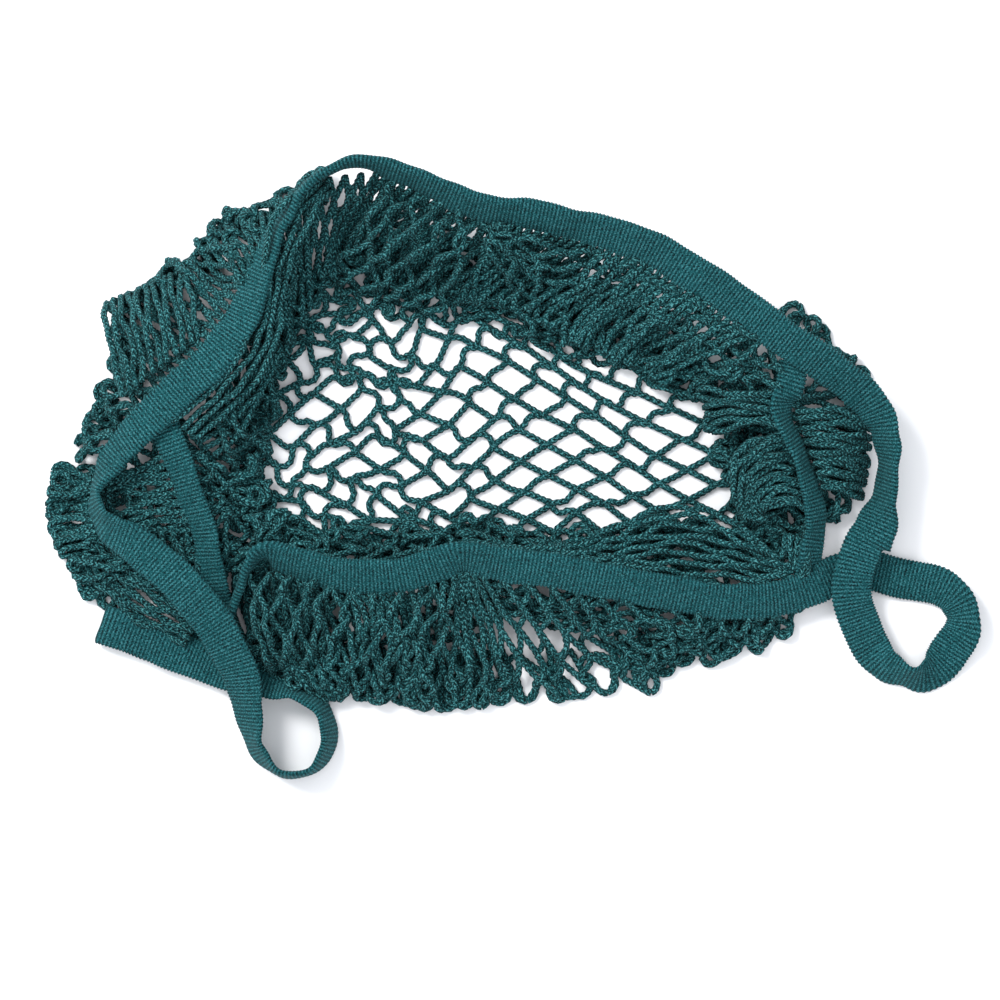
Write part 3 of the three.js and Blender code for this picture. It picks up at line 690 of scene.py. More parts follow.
@dataclass
class NodeBench:
    """A material's node tree, with short ways to add the nodes that the finishes share."""

    material: bpy.types.Material

    @classmethod
    def opened(cls, name: str) -> "NodeBench":
        """Opens a bench for a new material, emptied of Blender's own nodes.

        Args:
            name: The material's name.

        Returns:
            The bench.
        """
        material = bpy.data.materials.new(name)
        material.use_nodes = True
        material.node_tree.nodes.clear()
        return cls(material)

    def add(self, kind: str, **settings: object) -> bpy.types.Node:
        """Adds a node.

        Args:
            kind: The node's type name.
            **settings: Properties of the node to set.

        Returns:
            The new node.
        """
        node = self.material.node_tree.nodes.new(kind)
        for name, value in settings.items():
            setattr(node, name, value)
        return node

    def join(self, source: bpy.types.NodeSocket, target: bpy.types.NodeSocket) -> None:
        """Links one socket to another."""
        self.material.node_tree.links.new(source, target)

    def sum(
        self, operation: str, first: object, second: object = None, third: object = None
    ) -> bpy.types.NodeSocket:
        """Adds a Math node.

        Args:
            operation: The name of the operation.
            first: A socket or a number.
            second: A socket, a number or nothing.
            third: A socket, a number or nothing.

        Returns:
            The node's result.
        """
        node = self.add("ShaderNodeMath", operation=operation)
        for place, value in enumerate((first, second, third)):
            if isinstance(value, bpy.types.NodeSocket):
                self.join(value, node.inputs[place])
            elif value is not None:
                node.inputs[place].default_value = value
        return node.outputs[0]

    def noise(self, scale: float, detail: float, roughness: float) -> bpy.types.NodeSocket:
        """Adds noise over the object's own place in space.

        Args:
            scale: How many waves of noise to a metre.
            detail: How many finer layers it has.
            roughness: How strong the finer layers are.

        Returns:
            The noise, from 0 to 1.
        """
        place = self.add("ShaderNodeTexCoord")
        node = self.add("ShaderNodeTexNoise")
        node.inputs["Scale"].default_value = scale
        node.inputs["Detail"].default_value = detail
        node.inputs["Roughness"].default_value = roughness
        self.join(place.outputs["Object"], node.inputs["Vector"])
        return node.outputs["Fac"]

    def ramp(self, share: bpy.types.NodeSocket, stops: tuple) -> bpy.types.NodeSocket:
        """Adds a colour ramp.

        Args:
            share: The place on the ramp.
            stops: Pairs of a place and a colour, in order.

        Returns:
            The colour.
        """
        node = self.add("ShaderNodeValToRGB")
        elements = node.color_ramp.elements
        while len(elements) < len(stops):
            elements.new(0.5)
        for element, (place, colour) in zip(elements, stops):
            element.position = place
            element.color = (*colour, 1.0)
        self.join(share, node.inputs["Fac"])
        return node.outputs["Color"]

    def tinted(
        self, colour: bpy.types.NodeSocket, tone: bpy.types.NodeSocket, low: float, high: float
    ) -> bpy.types.NodeSocket:
        """Makes a colour darker and lighter from place to place.

        Args:
            colour: The colour to vary.
            tone: From 0, darkest, to 1, lightest.
            low: The strength at 0.
            high: The strength at 1.

        Returns:
            The varied colour.
        """
        strength = self.sum("MULTIPLY_ADD", tone, high - low, low)
        node = self.add("ShaderNodeVectorMath", operation="SCALE")
        self.join(colour, node.inputs[0])
        self.join(strength, node.inputs["Scale"])
        return node.outputs[0]


@dataclass(frozen=True)
class KnitCottonFinish:
    """What the two knitted cottons share: stitches under fine fibres, with painted shade in their
    hollows, painted highlights on their crests, and a soft, matt face.
    """

    name: str
    # The groove colour is painted shade where the stitches sink, and the crest colour is a painted
    # highlight on their tops; body is the cotton's own colour
    painted_groove_shade: tuple
    body: tuple
    painted_crest_highlight: tuple
    body_start: float
    body_end: float
    stitch_lean: float
    stitch_share: float
    fibre_share: float
    wear_scale: float
    wear_detail: float
    wear_low: float
    wear_high: float
    roughness: float
    sheen_tint: tuple
    relief: float
    map_name: str = "cloth"
    # Where the painted shade of the grooves sits on the ramp
    painted_groove_shade_place: float = 0.12
    fibre_scale: float = 1700.0
    fibre_detail: float = 2.0
    fineness: float = 0.6
    sheen: float = 0.04
    sheen_roughness: float = 0.5
    gloss: float = 0.12
    bump_strength: float = 0.9

    def stitched(
        self, bench: NodeBench, along: bpy.types.NodeSocket, beside: bpy.types.NodeSocket
    ) -> bpy.types.NodeSocket:
        """The height of the stitches, which each cotton gives in its own way."""
        raise NotImplementedError

    def made(self) -> bpy.types.Material:
        """Builds the material.

        Returns:
            The finished material.
        """
        bench = NodeBench.opened(self.name)
        places = bench.add("ShaderNodeUVMap", uv_map=self.map_name)
        split = bench.add("ShaderNodeSeparateXYZ")
        bench.join(places.outputs[0], split.inputs[0])
        stitch = self.stitched(bench, split.outputs["X"], split.outputs["Y"])
        noise = bench.noise(self.fibre_scale, self.fibre_detail, self.fineness)
        fibre = bench.sum("SUBTRACT", noise, 0.5)
        fuzzy = bench.sum("MULTIPLY_ADD", fibre, self.fibre_share, stitch)
        # The ramp paints shade where stitches and fibres sink and highlights where they rise, over the
        # body colour; the fibre noise also adds random tone
        colour = bench.ramp(fuzzy, (
            (self.painted_groove_shade_place, self.painted_groove_shade), (self.body_start, self.body),
            (self.body_end, self.body), (1.0, self.painted_crest_highlight),
        ))
        # The wear noise varies the tone at random, and the painted shade and highlights vary with it
        wear = bench.noise(self.wear_scale, self.wear_detail, self.fineness)
        worn_and_painted_shading = bench.tinted(colour, wear, self.wear_low, self.wear_high)
        shader = bench.add("ShaderNodeBsdfPrincipled")
        bench.join(worn_and_painted_shading, shader.inputs["Base Color"])
        shader.inputs["Roughness"].default_value = self.roughness
        shader.inputs["Sheen Weight"].default_value = self.sheen
        shader.inputs["Sheen Roughness"].default_value = self.sheen_roughness
        shader.inputs["Sheen Tint"].default_value = self.sheen_tint
        shader.inputs["Specular IOR Level"].default_value = self.gloss
        bump = bench.add("ShaderNodeBump")
        bump.inputs["Strength"].default_value = self.bump_strength
        bump.inputs["Distance"].default_value = self.relief
        bench.join(fuzzy, bump.inputs["Height"])
        bench.join(bump.outputs["Normal"], shader.inputs["Normal"])
        output = bench.add("ShaderNodeOutputMaterial")
        bench.join(shader.outputs[0], output.inputs["Surface"])
        return bench.material


@dataclass(frozen=True)
class RibbedKnitFinish(KnitCottonFinish):
    """The bands' cotton: firm ribs across the band, each a row of small V-shaped stitches."""

    name: str = "ribbed_band_cotton"
    # Painted shade in the grooves between ribs and stitches, the band's own teal, and a painted
    # highlight on the rib crests
    painted_groove_shade: tuple = (0.0003, 0.008, 0.010)
    body: tuple = (0.0042, 0.058, 0.065)
    painted_crest_highlight: tuple = (0.036, 0.158, 0.176)
    body_start: float = 0.52
    body_end: float = 0.70
    stitch_lean: float = 0.62
    stitch_share: float = 0.20
    rib_share: float = 0.11
    column_share: float = 0.10
    fibre_share: float = 2.3
    wear_scale: float = 34.0
    wear_detail: float = 3.0
    wear_low: float = 0.78
    wear_high: float = 1.22
    rib_pitch: float = 1.4 * MILLIMETRE
    stitch_pitch: float = 1.15 * MILLIMETRE
    roughness: float = 0.85
    sheen_tint: tuple = (0.45, 0.72, 0.70, 1.0)
    relief: float = 0.28 * MILLIMETRE

    def stitched(
        self, bench: NodeBench, along: bpy.types.NodeSocket, beside: bpy.types.NodeSocket
    ) -> bpy.types.NodeSocket:
        """The height of the ribs and of the stitches along them.

        Args:
            bench: The material's nodes.
            along: The cloth map's place along the band, in metres.
            beside: The cloth map's place across the band, in metres.

        Returns:
            The height, about 0.5 in the middle.
        """
        column = bench.sum("DIVIDE", beside, self.stitch_pitch)
        leaning = bench.sum("PINGPONG", column, 0.5)
        rib = bench.sum("DIVIDE", along, self.rib_pitch)
        drawn = bench.sum("MULTIPLY_ADD", leaning, self.stitch_lean, rib)
        wave = bench.sum("SINE", bench.sum("MULTIPLY", drawn, FULL_TURN))
        plain = bench.sum("COSINE", bench.sum("MULTIPLY", rib, FULL_TURN))
        between = bench.sum("SINE", bench.sum("MULTIPLY", column, FULL_TURN))
        stitch = bench.sum("MULTIPLY_ADD", wave, self.stitch_share, 0.5)
        ribbed = bench.sum("MULTIPLY_ADD", plain, self.rib_share, stitch)
        return bench.sum("MULTIPLY_ADD", bench.sum("ABSOLUTE", between), self.column_share, ribbed)


@dataclass(frozen=True)
class ChainKnitFinish(KnitCottonFinish):
    """The net's cotton cord: a chain-knit cord, with painted highlights where its loops would catch the
    light and painted shade between them.
    """

    name: str = "net_cord_cotton"
    # Painted shade in the hollows between the loops, the cord's own teal, and painted highlights on the
    # loops
    painted_groove_shade: tuple = (0.0003, 0.0045, 0.0054)
    body: tuple = (0.0036, 0.050, 0.055)
    painted_crest_highlight: tuple = (0.080, 0.285, 0.300)
    body_start: float = 0.50
    body_end: float = 0.64
    stitch_rows: float = 2.0
    stitch_lean: float = 2.6
    stitch_share: float = 0.25
    fibre_share: float = 2.7
    wear_scale: float = 60.0
    wear_detail: float = 2.0
    wear_low: float = 0.75
    wear_high: float = 1.25
    roughness: float = 0.88
    sheen_tint: tuple = (0.45, 0.75, 0.72, 1.0)
    relief: float = 0.35 * MILLIMETRE

    def stitched(
        self, bench: NodeBench, along: bpy.types.NodeSocket, beside: bpy.types.NodeSocket
    ) -> bpy.types.NodeSocket:
        """The height of the chain stitches, which lean to both sides round the cord.

        Args:
            bench: The material's nodes.
            along: The cloth map's place along the cord, in stitches.
            beside: The cloth map's place round the cord, in turns.

        Returns:
            The height, about 0.5 in the middle.
        """
        turned = bench.sum("MULTIPLY", beside, self.stitch_rows)
        leaning = bench.sum("PINGPONG", turned, 0.5)
        drawn = bench.sum("MULTIPLY_ADD", leaning, self.stitch_lean, along)
        wave = bench.sum("SINE", bench.sum("MULTIPLY", drawn, FULL_TURN))
        return bench.sum("MULTIPLY_ADD", wave, self.stitch_share, 0.5)


@dataclass(frozen=True)
class PaleSurfaceFinish:
    """The smooth white surface under the bag."""

    name: str = "pale_surface"
    colour: tuple = (0.90, 0.90, 0.91, 1.0)
    roughness: float = 0.7

    def made(self) -> bpy.types.Material:
        """Builds the material.

        Returns:
            The finished material.
        """
        bench = NodeBench.opened(self.name)
        shader = bench.add("ShaderNodeBsdfPrincipled")
        shader.inputs["Base Color"].default_value = self.colour
        shader.inputs["Roughness"].default_value = self.roughness
        output = bench.add("ShaderNodeOutputMaterial")
        bench.join(shader.outputs[0], output.inputs["Surface"])
        return bench.material


@dataclass
class Studio:
    """The camera straight above the bag, the soft light and the pale floor."""

    aim: tuple = (-0.0021, -0.0111, 0.015)
    distance: float = 2.0
    frame_width: float = 0.3745
    sensor: float = 36.0
    sky_strength: float = 1.28
    sky_colour: tuple = (0.94, 0.96, 1.0, 1.0)
    lamp_place: tuple = (-1.05, 0.95, 1.55)
    lamp_size: float = 0.8
    lamp_power: float = 40.0
    floor_size: float = 6.0

    def set_camera(self) -> None:
        """Makes the camera and sets it as the scene's own."""
        data = bpy.data.cameras.new("camera_above")
        data.sensor_width = self.sensor
        data.lens = self.sensor * self.distance / self.frame_width
        camera = bpy.data.objects.new("camera_above", data)
        camera.location = (self.aim[0], self.aim[1], self.aim[2] + self.distance)
        bpy.context.scene.collection.objects.link(camera)
        bpy.context.scene.camera = camera

    def set_light(self) -> None:
        """Makes the sky light and one large soft lamp from the far left."""
        scene = bpy.context.scene
        scene.view_settings.view_transform = "Standard"
        world = bpy.data.worlds.new("studio_sky")
        world.use_nodes = True
        sky = world.node_tree.nodes["Background"]
        sky.inputs["Color"].default_value = self.sky_colour
        sky.inputs["Strength"].default_value = self.sky_strength
        scene.world = world
        data = bpy.data.lights.new("soft_lamp", "AREA")
        data.shape = "DISK"
        data.size = self.lamp_size
        data.energy = self.lamp_power
        lamp = bpy.data.objects.new("soft_lamp", data)
        lamp.location = self.lamp_place
        lamp.rotation_euler = (-Vector(self.lamp_place)).to_track_quat("-Z", "Y").to_euler()
        scene.collection.objects.link(lamp)

    def lay_floor(self) -> None:
        """Makes the pale surface that the bag lies on."""
        half = self.floor_size / 2
        corners = np.array([[-half, -half, 0], [half, -half, 0], [half, half, 0], [-half, half, 0]])
        parts = MeshParts(corners, [np.array([[0, 1, 2, 3]])], corners[:, :2])
        floor = parts.made("pale_surface", "floor")
        floor.data.materials.append(PaleSurfaceFinish().made())


class BandCut(Enum):
    """The two ways the band is made up: folded over a net's edge, or flat as a handle."""

    BINDING = "binding"
    STRAP = "strap"


class Wave(NamedTuple):
    """A wave along a band: its length, phase, slant across the band, and share of the slack."""

    length: float
    phase: float
    slant: float
    share: float


@dataclass
class BandStations:
    """Points along a band with their directions, all in step."""

    points: np.ndarray
    along: np.ndarray
    across: np.ndarray
    through: np.ndarray
    lengths: np.ndarray

    @classmethod
    def routed(cls, rows: tuple, step: float, closed: bool, closing_turn: float) -> "BandStations":
        """Runs a band through its rows.

        Args:
            rows: The band's bends, in order.
            step: The distance from one station to the next.
            closed: Whether the last row leads back to the first.
            closing_turn: How far the band is turned over when it comes back, in degrees.

        Returns:
            The stations.
        """
        curve = SmoothCurve(placed_rows(rows), closed, Knots.CENTRIPETAL)
        leans = [row.lean for row in rows]
        if closed:
            leans.append(leans[0] + closing_turn)
        spans = len(leans) - 1
        tries_to_a_span = 40
        trial = np.linspace(0, 1, spans * tries_to_a_span + 1)
        gone = lengths_along(curve.at(trial))
        count = int(round(gone[-1] / step))
        shares = np.interp(np.linspace(0, gone[-1], count + 1), gone, trial)
        points = curve.at(shares)
        nudge = 1e-4
        along = unit(curve.at(np.clip(shares + nudge, 0, 1)) - curve.at(np.clip(shares - nudge, 0, 1)))
        row = np.minimum(np.floor(shares * spans).astype(int), spans - 1)
        bends = np.array(leans, float)
        part = eased(shares * spans - row)
        lean = np.radians(bends[row] + (bends[row + 1] - bends[row]) * part)
        sideways = cls._sideways(along)
        upright = np.cross(sideways, along)
        across = sideways * np.cos(lean)[:, None] + upright * np.sin(lean)[:, None]
        return cls(points, along, across, np.cross(along, across), lengths_along(points))

    @staticmethod
    def _sideways(along: np.ndarray) -> np.ndarray:
        """The level direction beside each station, which keeps its sense along the whole band.

        Args:
            along: The band's direction at each station.

        Returns:
            One unit vector for each station.
        """
        level_limit = 0.6
        up = np.array([0.0, 0.0, 1.0])
        found = np.empty_like(along)
        sideways = unit(np.cross(along[0], up))
        for index, ahead in enumerate(along):
            level = np.cross(ahead, up)
            following = unit(level) if np.linalg.norm(level) > level_limit else sideways.copy()
            if following @ sideways < 0:
                following = -following
            sideways = unit(following - ahead * (following @ ahead))
            found[index] = sideways
        return found

    def cut(self, start: int, end: int) -> "BandStations":
        """Takes a piece out of the band.

        Args:
            start: Its first station.
            end: Its last station.

        Returns:
            The piece's stations, with lengths that start at 0.
        """
        picked = slice(start, end + 1)
        return BandStations(
            self.points[picked], self.along[picked], self.across[picked], self.through[picked],
            self.lengths[picked] - self.lengths[start],
        )

    def at(self, shares: np.ndarray) -> tuple[np.ndarray, np.ndarray, np.ndarray]:
        """Places at shares of the length.

        Args:
            shares: Shares of the band's length.

        Returns:
            Points, width directions and face directions.
        """
        gone = np.asarray(shares) * self.lengths[-1]
        mixed = []
        for values in (self.points, self.across, self.through):
            mixed.append(np.stack([np.interp(gone, self.lengths, v) for v in values.T], axis=1))
        return mixed[0], unit(mixed[1]), unit(mixed[2])


@dataclass
class KnitBand:
    """A stretch of the ribbed band: its route, its section and its knitted surface.

    From lap_place on, a share of its length, it is sewn over the stretch before: it rises by
    lap_rise, and its edge away from the fold moves aside by lap_shift.
    """

    name: str
    stations: BandStations
    width: float
    thickness: float
    fullness: np.ndarray
    rib_offset: float = 0.0
    rib_pitch: float = 1.4 * MILLIMETRE
    rib_relief: float = 0.11 * MILLIMETRE
    rib_fade: float = 0.6
    chevrons: int = 5
    chevron_depth: float = 1.6
    scallop: float = 0.26 * MILLIMETRE
    edge_sharpness: int = 5
    edge_roundness: int = 7
    edge_fullness: float = 0.62
    fold_reach: float = 0.6
    seam_place: float = 0.17
    seam_spread: float = 0.045
    seam_depth: float = 0.32 * MILLIMETRE
    slack: float = 0.45 * MILLIMETRE
    middle_waver: float = 0.35
    guarded_from: float = -0.42
    guarded_to: float = 0.46
    lap_place: float = 1.0
    lap_shift: float = -3.0 * MILLIMETRE
    lap_rise: float = 0.6 * MILLIMETRE
    lap_edge: float = 0.8 * MILLIMETRE
    across_places: tuple = (
        -0.5, -0.485, -0.44, -0.36, -0.26, -0.15, -0.04, 0.06, 0.12, 0.17, 0.22, 0.29, 0.37, 0.44,
        0.485, 0.5,
    )

    WAVER = (
        Wave(0.0131, 0.0, 3.0, 0.5),
        Wave(0.0293, 1.7, 2.0, 0.7),
        Wave(0.0617, 0.6, 0.0, 0.8),
    )
    SWAY = (
        Wave(0.0237, 2.1, 0.0, 0.5),
        Wave(0.0433, 0.0, 0.0, 0.6),
    )

    def half_thickness(self, place: np.ndarray, fullness: np.ndarray) -> np.ndarray:
        """How thick one face of the band is.

        Args:
            place: Places across the band, from -0.5 to 0.5.
            fullness: 1 for a binding, which is fullest at its fold, and 0 for a flat strap.

        Returns:
            Distances from the middle of the band to its face.
        """
        rounded = np.sqrt(np.maximum(1 - np.abs(2 * place) ** self.edge_roundness, 0))
        filled = eased((place + 0.5) / self.fold_reach)
        folded = self.edge_fullness + (1 - self.edge_fullness) * filled
        seam = np.exp(-(((place - self.seam_place) / self.seam_spread) ** 2)) * self.seam_depth
        full = (self.thickness / 2) * (1 + (folded - 1) * fullness) * rounded
        return np.maximum(full - seam * fullness * rounded, 0.0)

    def parts(self) -> MeshParts:
        """Builds the band's surface.

        Returns:
            The band's corners, faces and cloth map.
        """
        stations = self.stations
        gone = stations.lengths[:, None]
        turned = FULL_TURN * (gone + self.rib_offset) / self.rib_pitch
        upper = np.array(self.across_places)
        lower = upper[-2:0:-1]
        place = np.concatenate([upper, lower])[None, :]
        face = np.concatenate([np.ones(len(upper)), -np.ones(len(lower))])[None, :]
        fullness = self.fullness[:, None]
        depth = self.half_thickness(place, fullness)
        edge = np.abs(2 * place) ** self.edge_sharpness
        chevron = turned + self.chevron_depth * np.abs(np.sin(place * np.pi * self.chevrons))
        rib = self.rib_relief * (0.5 + 0.5 * np.cos(chevron)) * (1 - self.rib_fade * edge)
        spread = self.scallop * np.cos(turned) * edge * np.sign(place)
        sway = self._wavering(gone, place, self.SWAY)
        outward = self.middle_waver + (1 - self.middle_waver) * np.abs(2 * place)
        waver = self._wavering(gone, place, self.WAVER) * outward
        lapped = self._lapped(gone)
        off = face * (depth + rib + lapped * self.lap_rise) + waver
        beside = place * self.width + spread + sway + lapped * self.lap_shift * (0.5 - place)
        corners = (
            stations.points[:, None, :]
            + stations.across[:, None, :] * beside[..., None]
            + stations.through[:, None, :] * off[..., None]
        )
        lowest = corners[..., 2].min(axis=1, keepdims=True)
        corners[..., 2] -= np.minimum(lowest, 0)
        return self._woven(corners, place[0] * self.width, gone[:, 0])

    def _wavering(self, gone: np.ndarray, place: np.ndarray, waves: tuple) -> np.ndarray:
        """The band's small departures from its route.

        Args:
            gone: The length gone at each station.
            place: Places across the band.
            waves: The waves that it is made of.

        Returns:
            A distance for each station and place.
        """
        total = 0.0
        for wave in waves:
            turn = FULL_TURN * gone / wave.length + wave.phase + wave.slant * place
            total = total + np.sin(turn) * wave.share
        return self.slack * total

    def _lapped(self, gone: np.ndarray) -> np.ndarray:
        """How far the lap has risen: fully at its sewn edge, and less and less on its way from it.

        Args:
            gone: The length gone at each station.

        Returns:
            A share for each station.
        """
        whole = self.stations.lengths[-1]
        lap_length = max((1 - self.lap_place) * whole, self.lap_edge)
        risen = eased((gone - self.lap_place * whole) / self.lap_edge)
        return risen * (whole - gone) / lap_length

    @staticmethod
    def _woven(corners: np.ndarray, beside: np.ndarray, gone: np.ndarray) -> MeshParts:
        """Joins rings of corners into a closed skin.

        Args:
            corners: Rings of corners, station by station.
            beside: The cloth map's place of each corner of a ring.
            gone: The cloth map's place of each station.

        Returns:
            The mesh parts.
        """
        rings, sides = corners.shape[:2]
        ring, side = np.meshgrid(np.arange(rings - 1), np.arange(sides), indexing="ij")
        following = (side + 1) % sides
        quads = np.stack([
            ring * sides + side, (ring + 1) * sides + side,
            (ring + 1) * sides + following, ring * sides + following,
        ], axis=-1).reshape(-1, 4)
        half = sides // 2
        pick = np.arange(1, half - 1)
        caps = np.stack([pick, pick + 1, sides - pick - 1, sides - pick], axis=-1)
        tips = np.array([[0, 1, sides - 1], [half - 1, half, half + 1]])
        last = (rings - 1) * sides
        faces = [
            quads, np.concatenate([caps[:, ::-1], caps + last]),
            np.concatenate([tips[:, ::-1], tips + last]),
        ]
        places = np.stack([np.repeat(gone, sides), np.tile(beside, rings)], axis=1)
        order = np.concatenate([group.ravel() for group in faces])
        return MeshParts(corners.reshape(-1, 3), faces, places[order])

    def obstacle(self, spacing: float) -> np.ndarray:
        """Points over the band's middle plane, for the net to keep clear of.

        Args:
            spacing: The distance from one point to the next.

        Returns:
            The points.
        """
        along = int(self.stations.lengths[-1] / spacing)
        points, across, _ = self.stations.at(np.linspace(0, 1, along))
        count = max(2, int(self.width / spacing))
        beside = np.linspace(self.guarded_from, self.guarded_to, count) * self.width
        return (points[:, None] + across[:, None] * beside[None, :, None]).reshape(-1, 3)


@dataclass
class BandWork:
    """All the bag's bands: the ring through rims and handles, and the two side bands."""

    step: float = 0.35 * MILLIMETRE
    binding_width: float = 14.2 * MILLIMETRE
    binding_thickness: float = 3.4 * MILLIMETRE
    strap_width: float = 15 * MILLIMETRE
    strap_thickness: float = 2.2 * MILLIMETRE
    side_width: float = 11.5 * MILLIMETRE
    side_thickness: float = 2.4 * MILLIMETRE
    change_length: float = 14 * MILLIMETRE
    least_settled: float = 0.5
    ring_half_turns: int = 2
    bands: dict = field(default_factory=dict)

    RING_PIECES = (
        ("rim_band_back", FAR_RIM_ROWS, BandCut.BINDING),
        ("handle_left", LEFT_HANDLE_ROWS, BandCut.STRAP),
        ("rim_band_front", NEAR_RIM_ROWS, BandCut.BINDING),
        ("handle_right", RIGHT_HANDLE_ROWS, BandCut.STRAP),
    )
    LAP_PLACES = {"handle_right": 0.72}
    SIDE_PIECES = (
        ("side_band_right", RIGHT_SIDE_ROWS),
        ("side_band_left", LEFT_SIDE_ROWS),
    )

    def run(self) -> None:
        """Runs every band along its route."""
        rows = tuple(row for _, own, _ in self.RING_PIECES for row in own)
        ring = BandStations.routed(rows, self.step, True, 180.0 * self.ring_half_turns)
        starts = self._starts(ring, rows)
        for (name, _, cut), first, last in zip(self.RING_PIECES, starts, starts[1:]):
            piece = ring.cut(first, last)
            self.bands[name] = KnitBand(
                name, piece,
                self.binding_width if cut is BandCut.BINDING else self.strap_width,
                self.binding_thickness if cut is BandCut.BINDING else self.strap_thickness,
                self._fullness(piece, cut), rib_offset=float(ring.lengths[first]),
                lap_place=self.LAP_PLACES.get(name, 1.0),
            )
        for name, own in self.SIDE_PIECES:
            piece = BandStations.routed(own, self.step, False, 0.0)
            self.bands[name] = KnitBand(
                name, piece, self.side_width, self.side_thickness, np.zeros(len(piece.points)),
            )

    def _starts(self, ring: BandStations, rows: tuple) -> list[int]:
        """The station nearest to each piece's first row, and the ring's last station.

        Args:
            ring: The stations of the whole ring.
            rows: The rows of the whole ring.

        Returns:
            Five station numbers.
        """
        starts = [0]
        row = 0
        for _, own, _ in self.RING_PIECES[:-1]:
            row += len(own)
            corner = placed(rows[row].x, rows[row].y, rows[row].rise)
            starts.append(int(np.linalg.norm(ring.points - corner, axis=1).argmin()))
        return starts + [len(ring.points) - 1]

    def _fullness(self, piece: BandStations, cut: BandCut) -> np.ndarray:
        """How full the fold is along a piece: it eases where a binding becomes a handle.

        Args:
            piece: The piece's stations.
            cut: How the piece is made up.

        Returns:
            A share for each station.
        """
        from_end = np.minimum(piece.lengths, piece.lengths[-1] - piece.lengths)
        gained = eased(from_end / self.change_length) * (1 - self.least_settled)
        settled = gained + self.least_settled
        return settled if cut is BandCut.BINDING else 1 - settled

    def build(self, finish: RibbedKnitFinish) -> None:
        """Makes the mesh of each band and dresses it.

        Args:
            finish: The bands' cotton.
        """
        material = finish.made()
        for band in self.bands.values():
            thing = band.parts().made(f"{band.name}_knit", finish.map_name)
            thing.data.materials.append(material)
            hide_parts(band.name)
            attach(thing, BODY)
            log.info("%s: %d faces", thing.name, len(thing.data.polygons))

    def obstacles(self, spacing: float) -> Iterator[tuple[np.ndarray, float]]:
        """Each band's points for the net to keep clear of, with half of its thickness.

        Args:
            spacing: The distance from one point to the next.

        Yields:
            Points and half a thickness.
        """
        for band in self.bands.values():
            yield band.obstacle(spacing), band.thickness / 2


STRAND_PARTS = 4


@dataclass
class Netting:
    """Knots and strands of one stretch of net.

    A strand is five points: a knot, three points between, and the next knot. Strands of the first
    half lean to the right on their way from the bound edge, and the others to the left. STAR_PLACES
    says which strand is which in a knot's row of stars: whether it leans to the right, and whether
    it ends at the knot.
    """

    name: str
    points: np.ndarray
    held: np.ndarray
    strands: np.ndarray
    leans_right: np.ndarray
    stars: np.ndarray
    knots: int
    holding: float
    strand_length: float

    INNER_JITTER = 0.4
    STAR_PLACES = ((True, True), (False, True), (False, False), (True, False))

    @classmethod
    def tied(
        cls, name: str, places: np.ndarray, closed: bool, held_rows: int, seed: int, jitter: float,
        holding: float, strand_length: float,
    ) -> "Netting":
        """Ties a net through a grid of places, with a knot at every other one.

        Args:
            name: The name of the net.
            places: Places by row and column.
            closed: Whether the last column leads back to the first.
            held_rows: How many rows of knots from the bound edge can't move.
            seed: The seed of the small random shifts.
            jitter: How far a free knot is shifted at most.
            holding: How firmly its knots keep to their places while it settles.
            strand_length: The length of cord from knot to knot.

        Returns:
            The net.
        """
        rows, columns = places.shape[:2]
        number = np.full((rows, columns), -1)
        row, column = np.nonzero((np.add.outer(np.arange(rows), np.arange(columns)) % 2) == 0)
        number[row, column] = np.arange(len(row))
        knots = places[row, column].copy()
        chance = np.random.default_rng(seed)
        shift = chance.uniform(-jitter, jitter, knots.shape)
        shift[row < held_rows] = 0
        knots += shift
        pairs = []
        for lean in (1, -1):
            following = column + lean
            if closed:
                following %= columns
            fits = (row < rows - 1) & (following >= 0) & (following < columns)
            ends = number[row[fits] + 1, following[fits]]
            pairs.append(np.stack([number[row[fits], column[fits]], ends], axis=1))
        joined = np.concatenate(pairs)
        leans_right = np.arange(len(joined)) < len(pairs[0])
        count = len(joined)
        between = len(knots) + np.arange(count * (STRAND_PARTS - 1)).reshape(count, -1)
        strands = np.concatenate([joined[:, :1], between, joined[:, 1:]], axis=1)
        shares = (np.arange(1, STRAND_PARTS) / STRAND_PARTS)[None, :, None]
        start, end = knots[joined[:, :1]], knots[joined[:, 1:]]
        inner = start * (1 - shares) + end * shares
        inner += chance.uniform(-jitter, jitter, inner.shape) * cls.INNER_JITTER
        points = np.concatenate([knots, inner.reshape(-1, 3)])
        held = np.zeros(len(points), bool)
        held[:len(knots)] = row < held_rows
        stars = np.full((len(knots), 4), -1)
        for place, (lean, end_side) in enumerate(cls.STAR_PLACES):
            own = strands[leans_right == lean]
            knot, beside = (own[:, -1], own[:, -2]) if end_side else (own[:, 0], own[:, 1])
            stars[knot, place] = beside
        return cls(
            name, points, held, strands, leans_right, stars, len(knots), holding, strand_length
        )


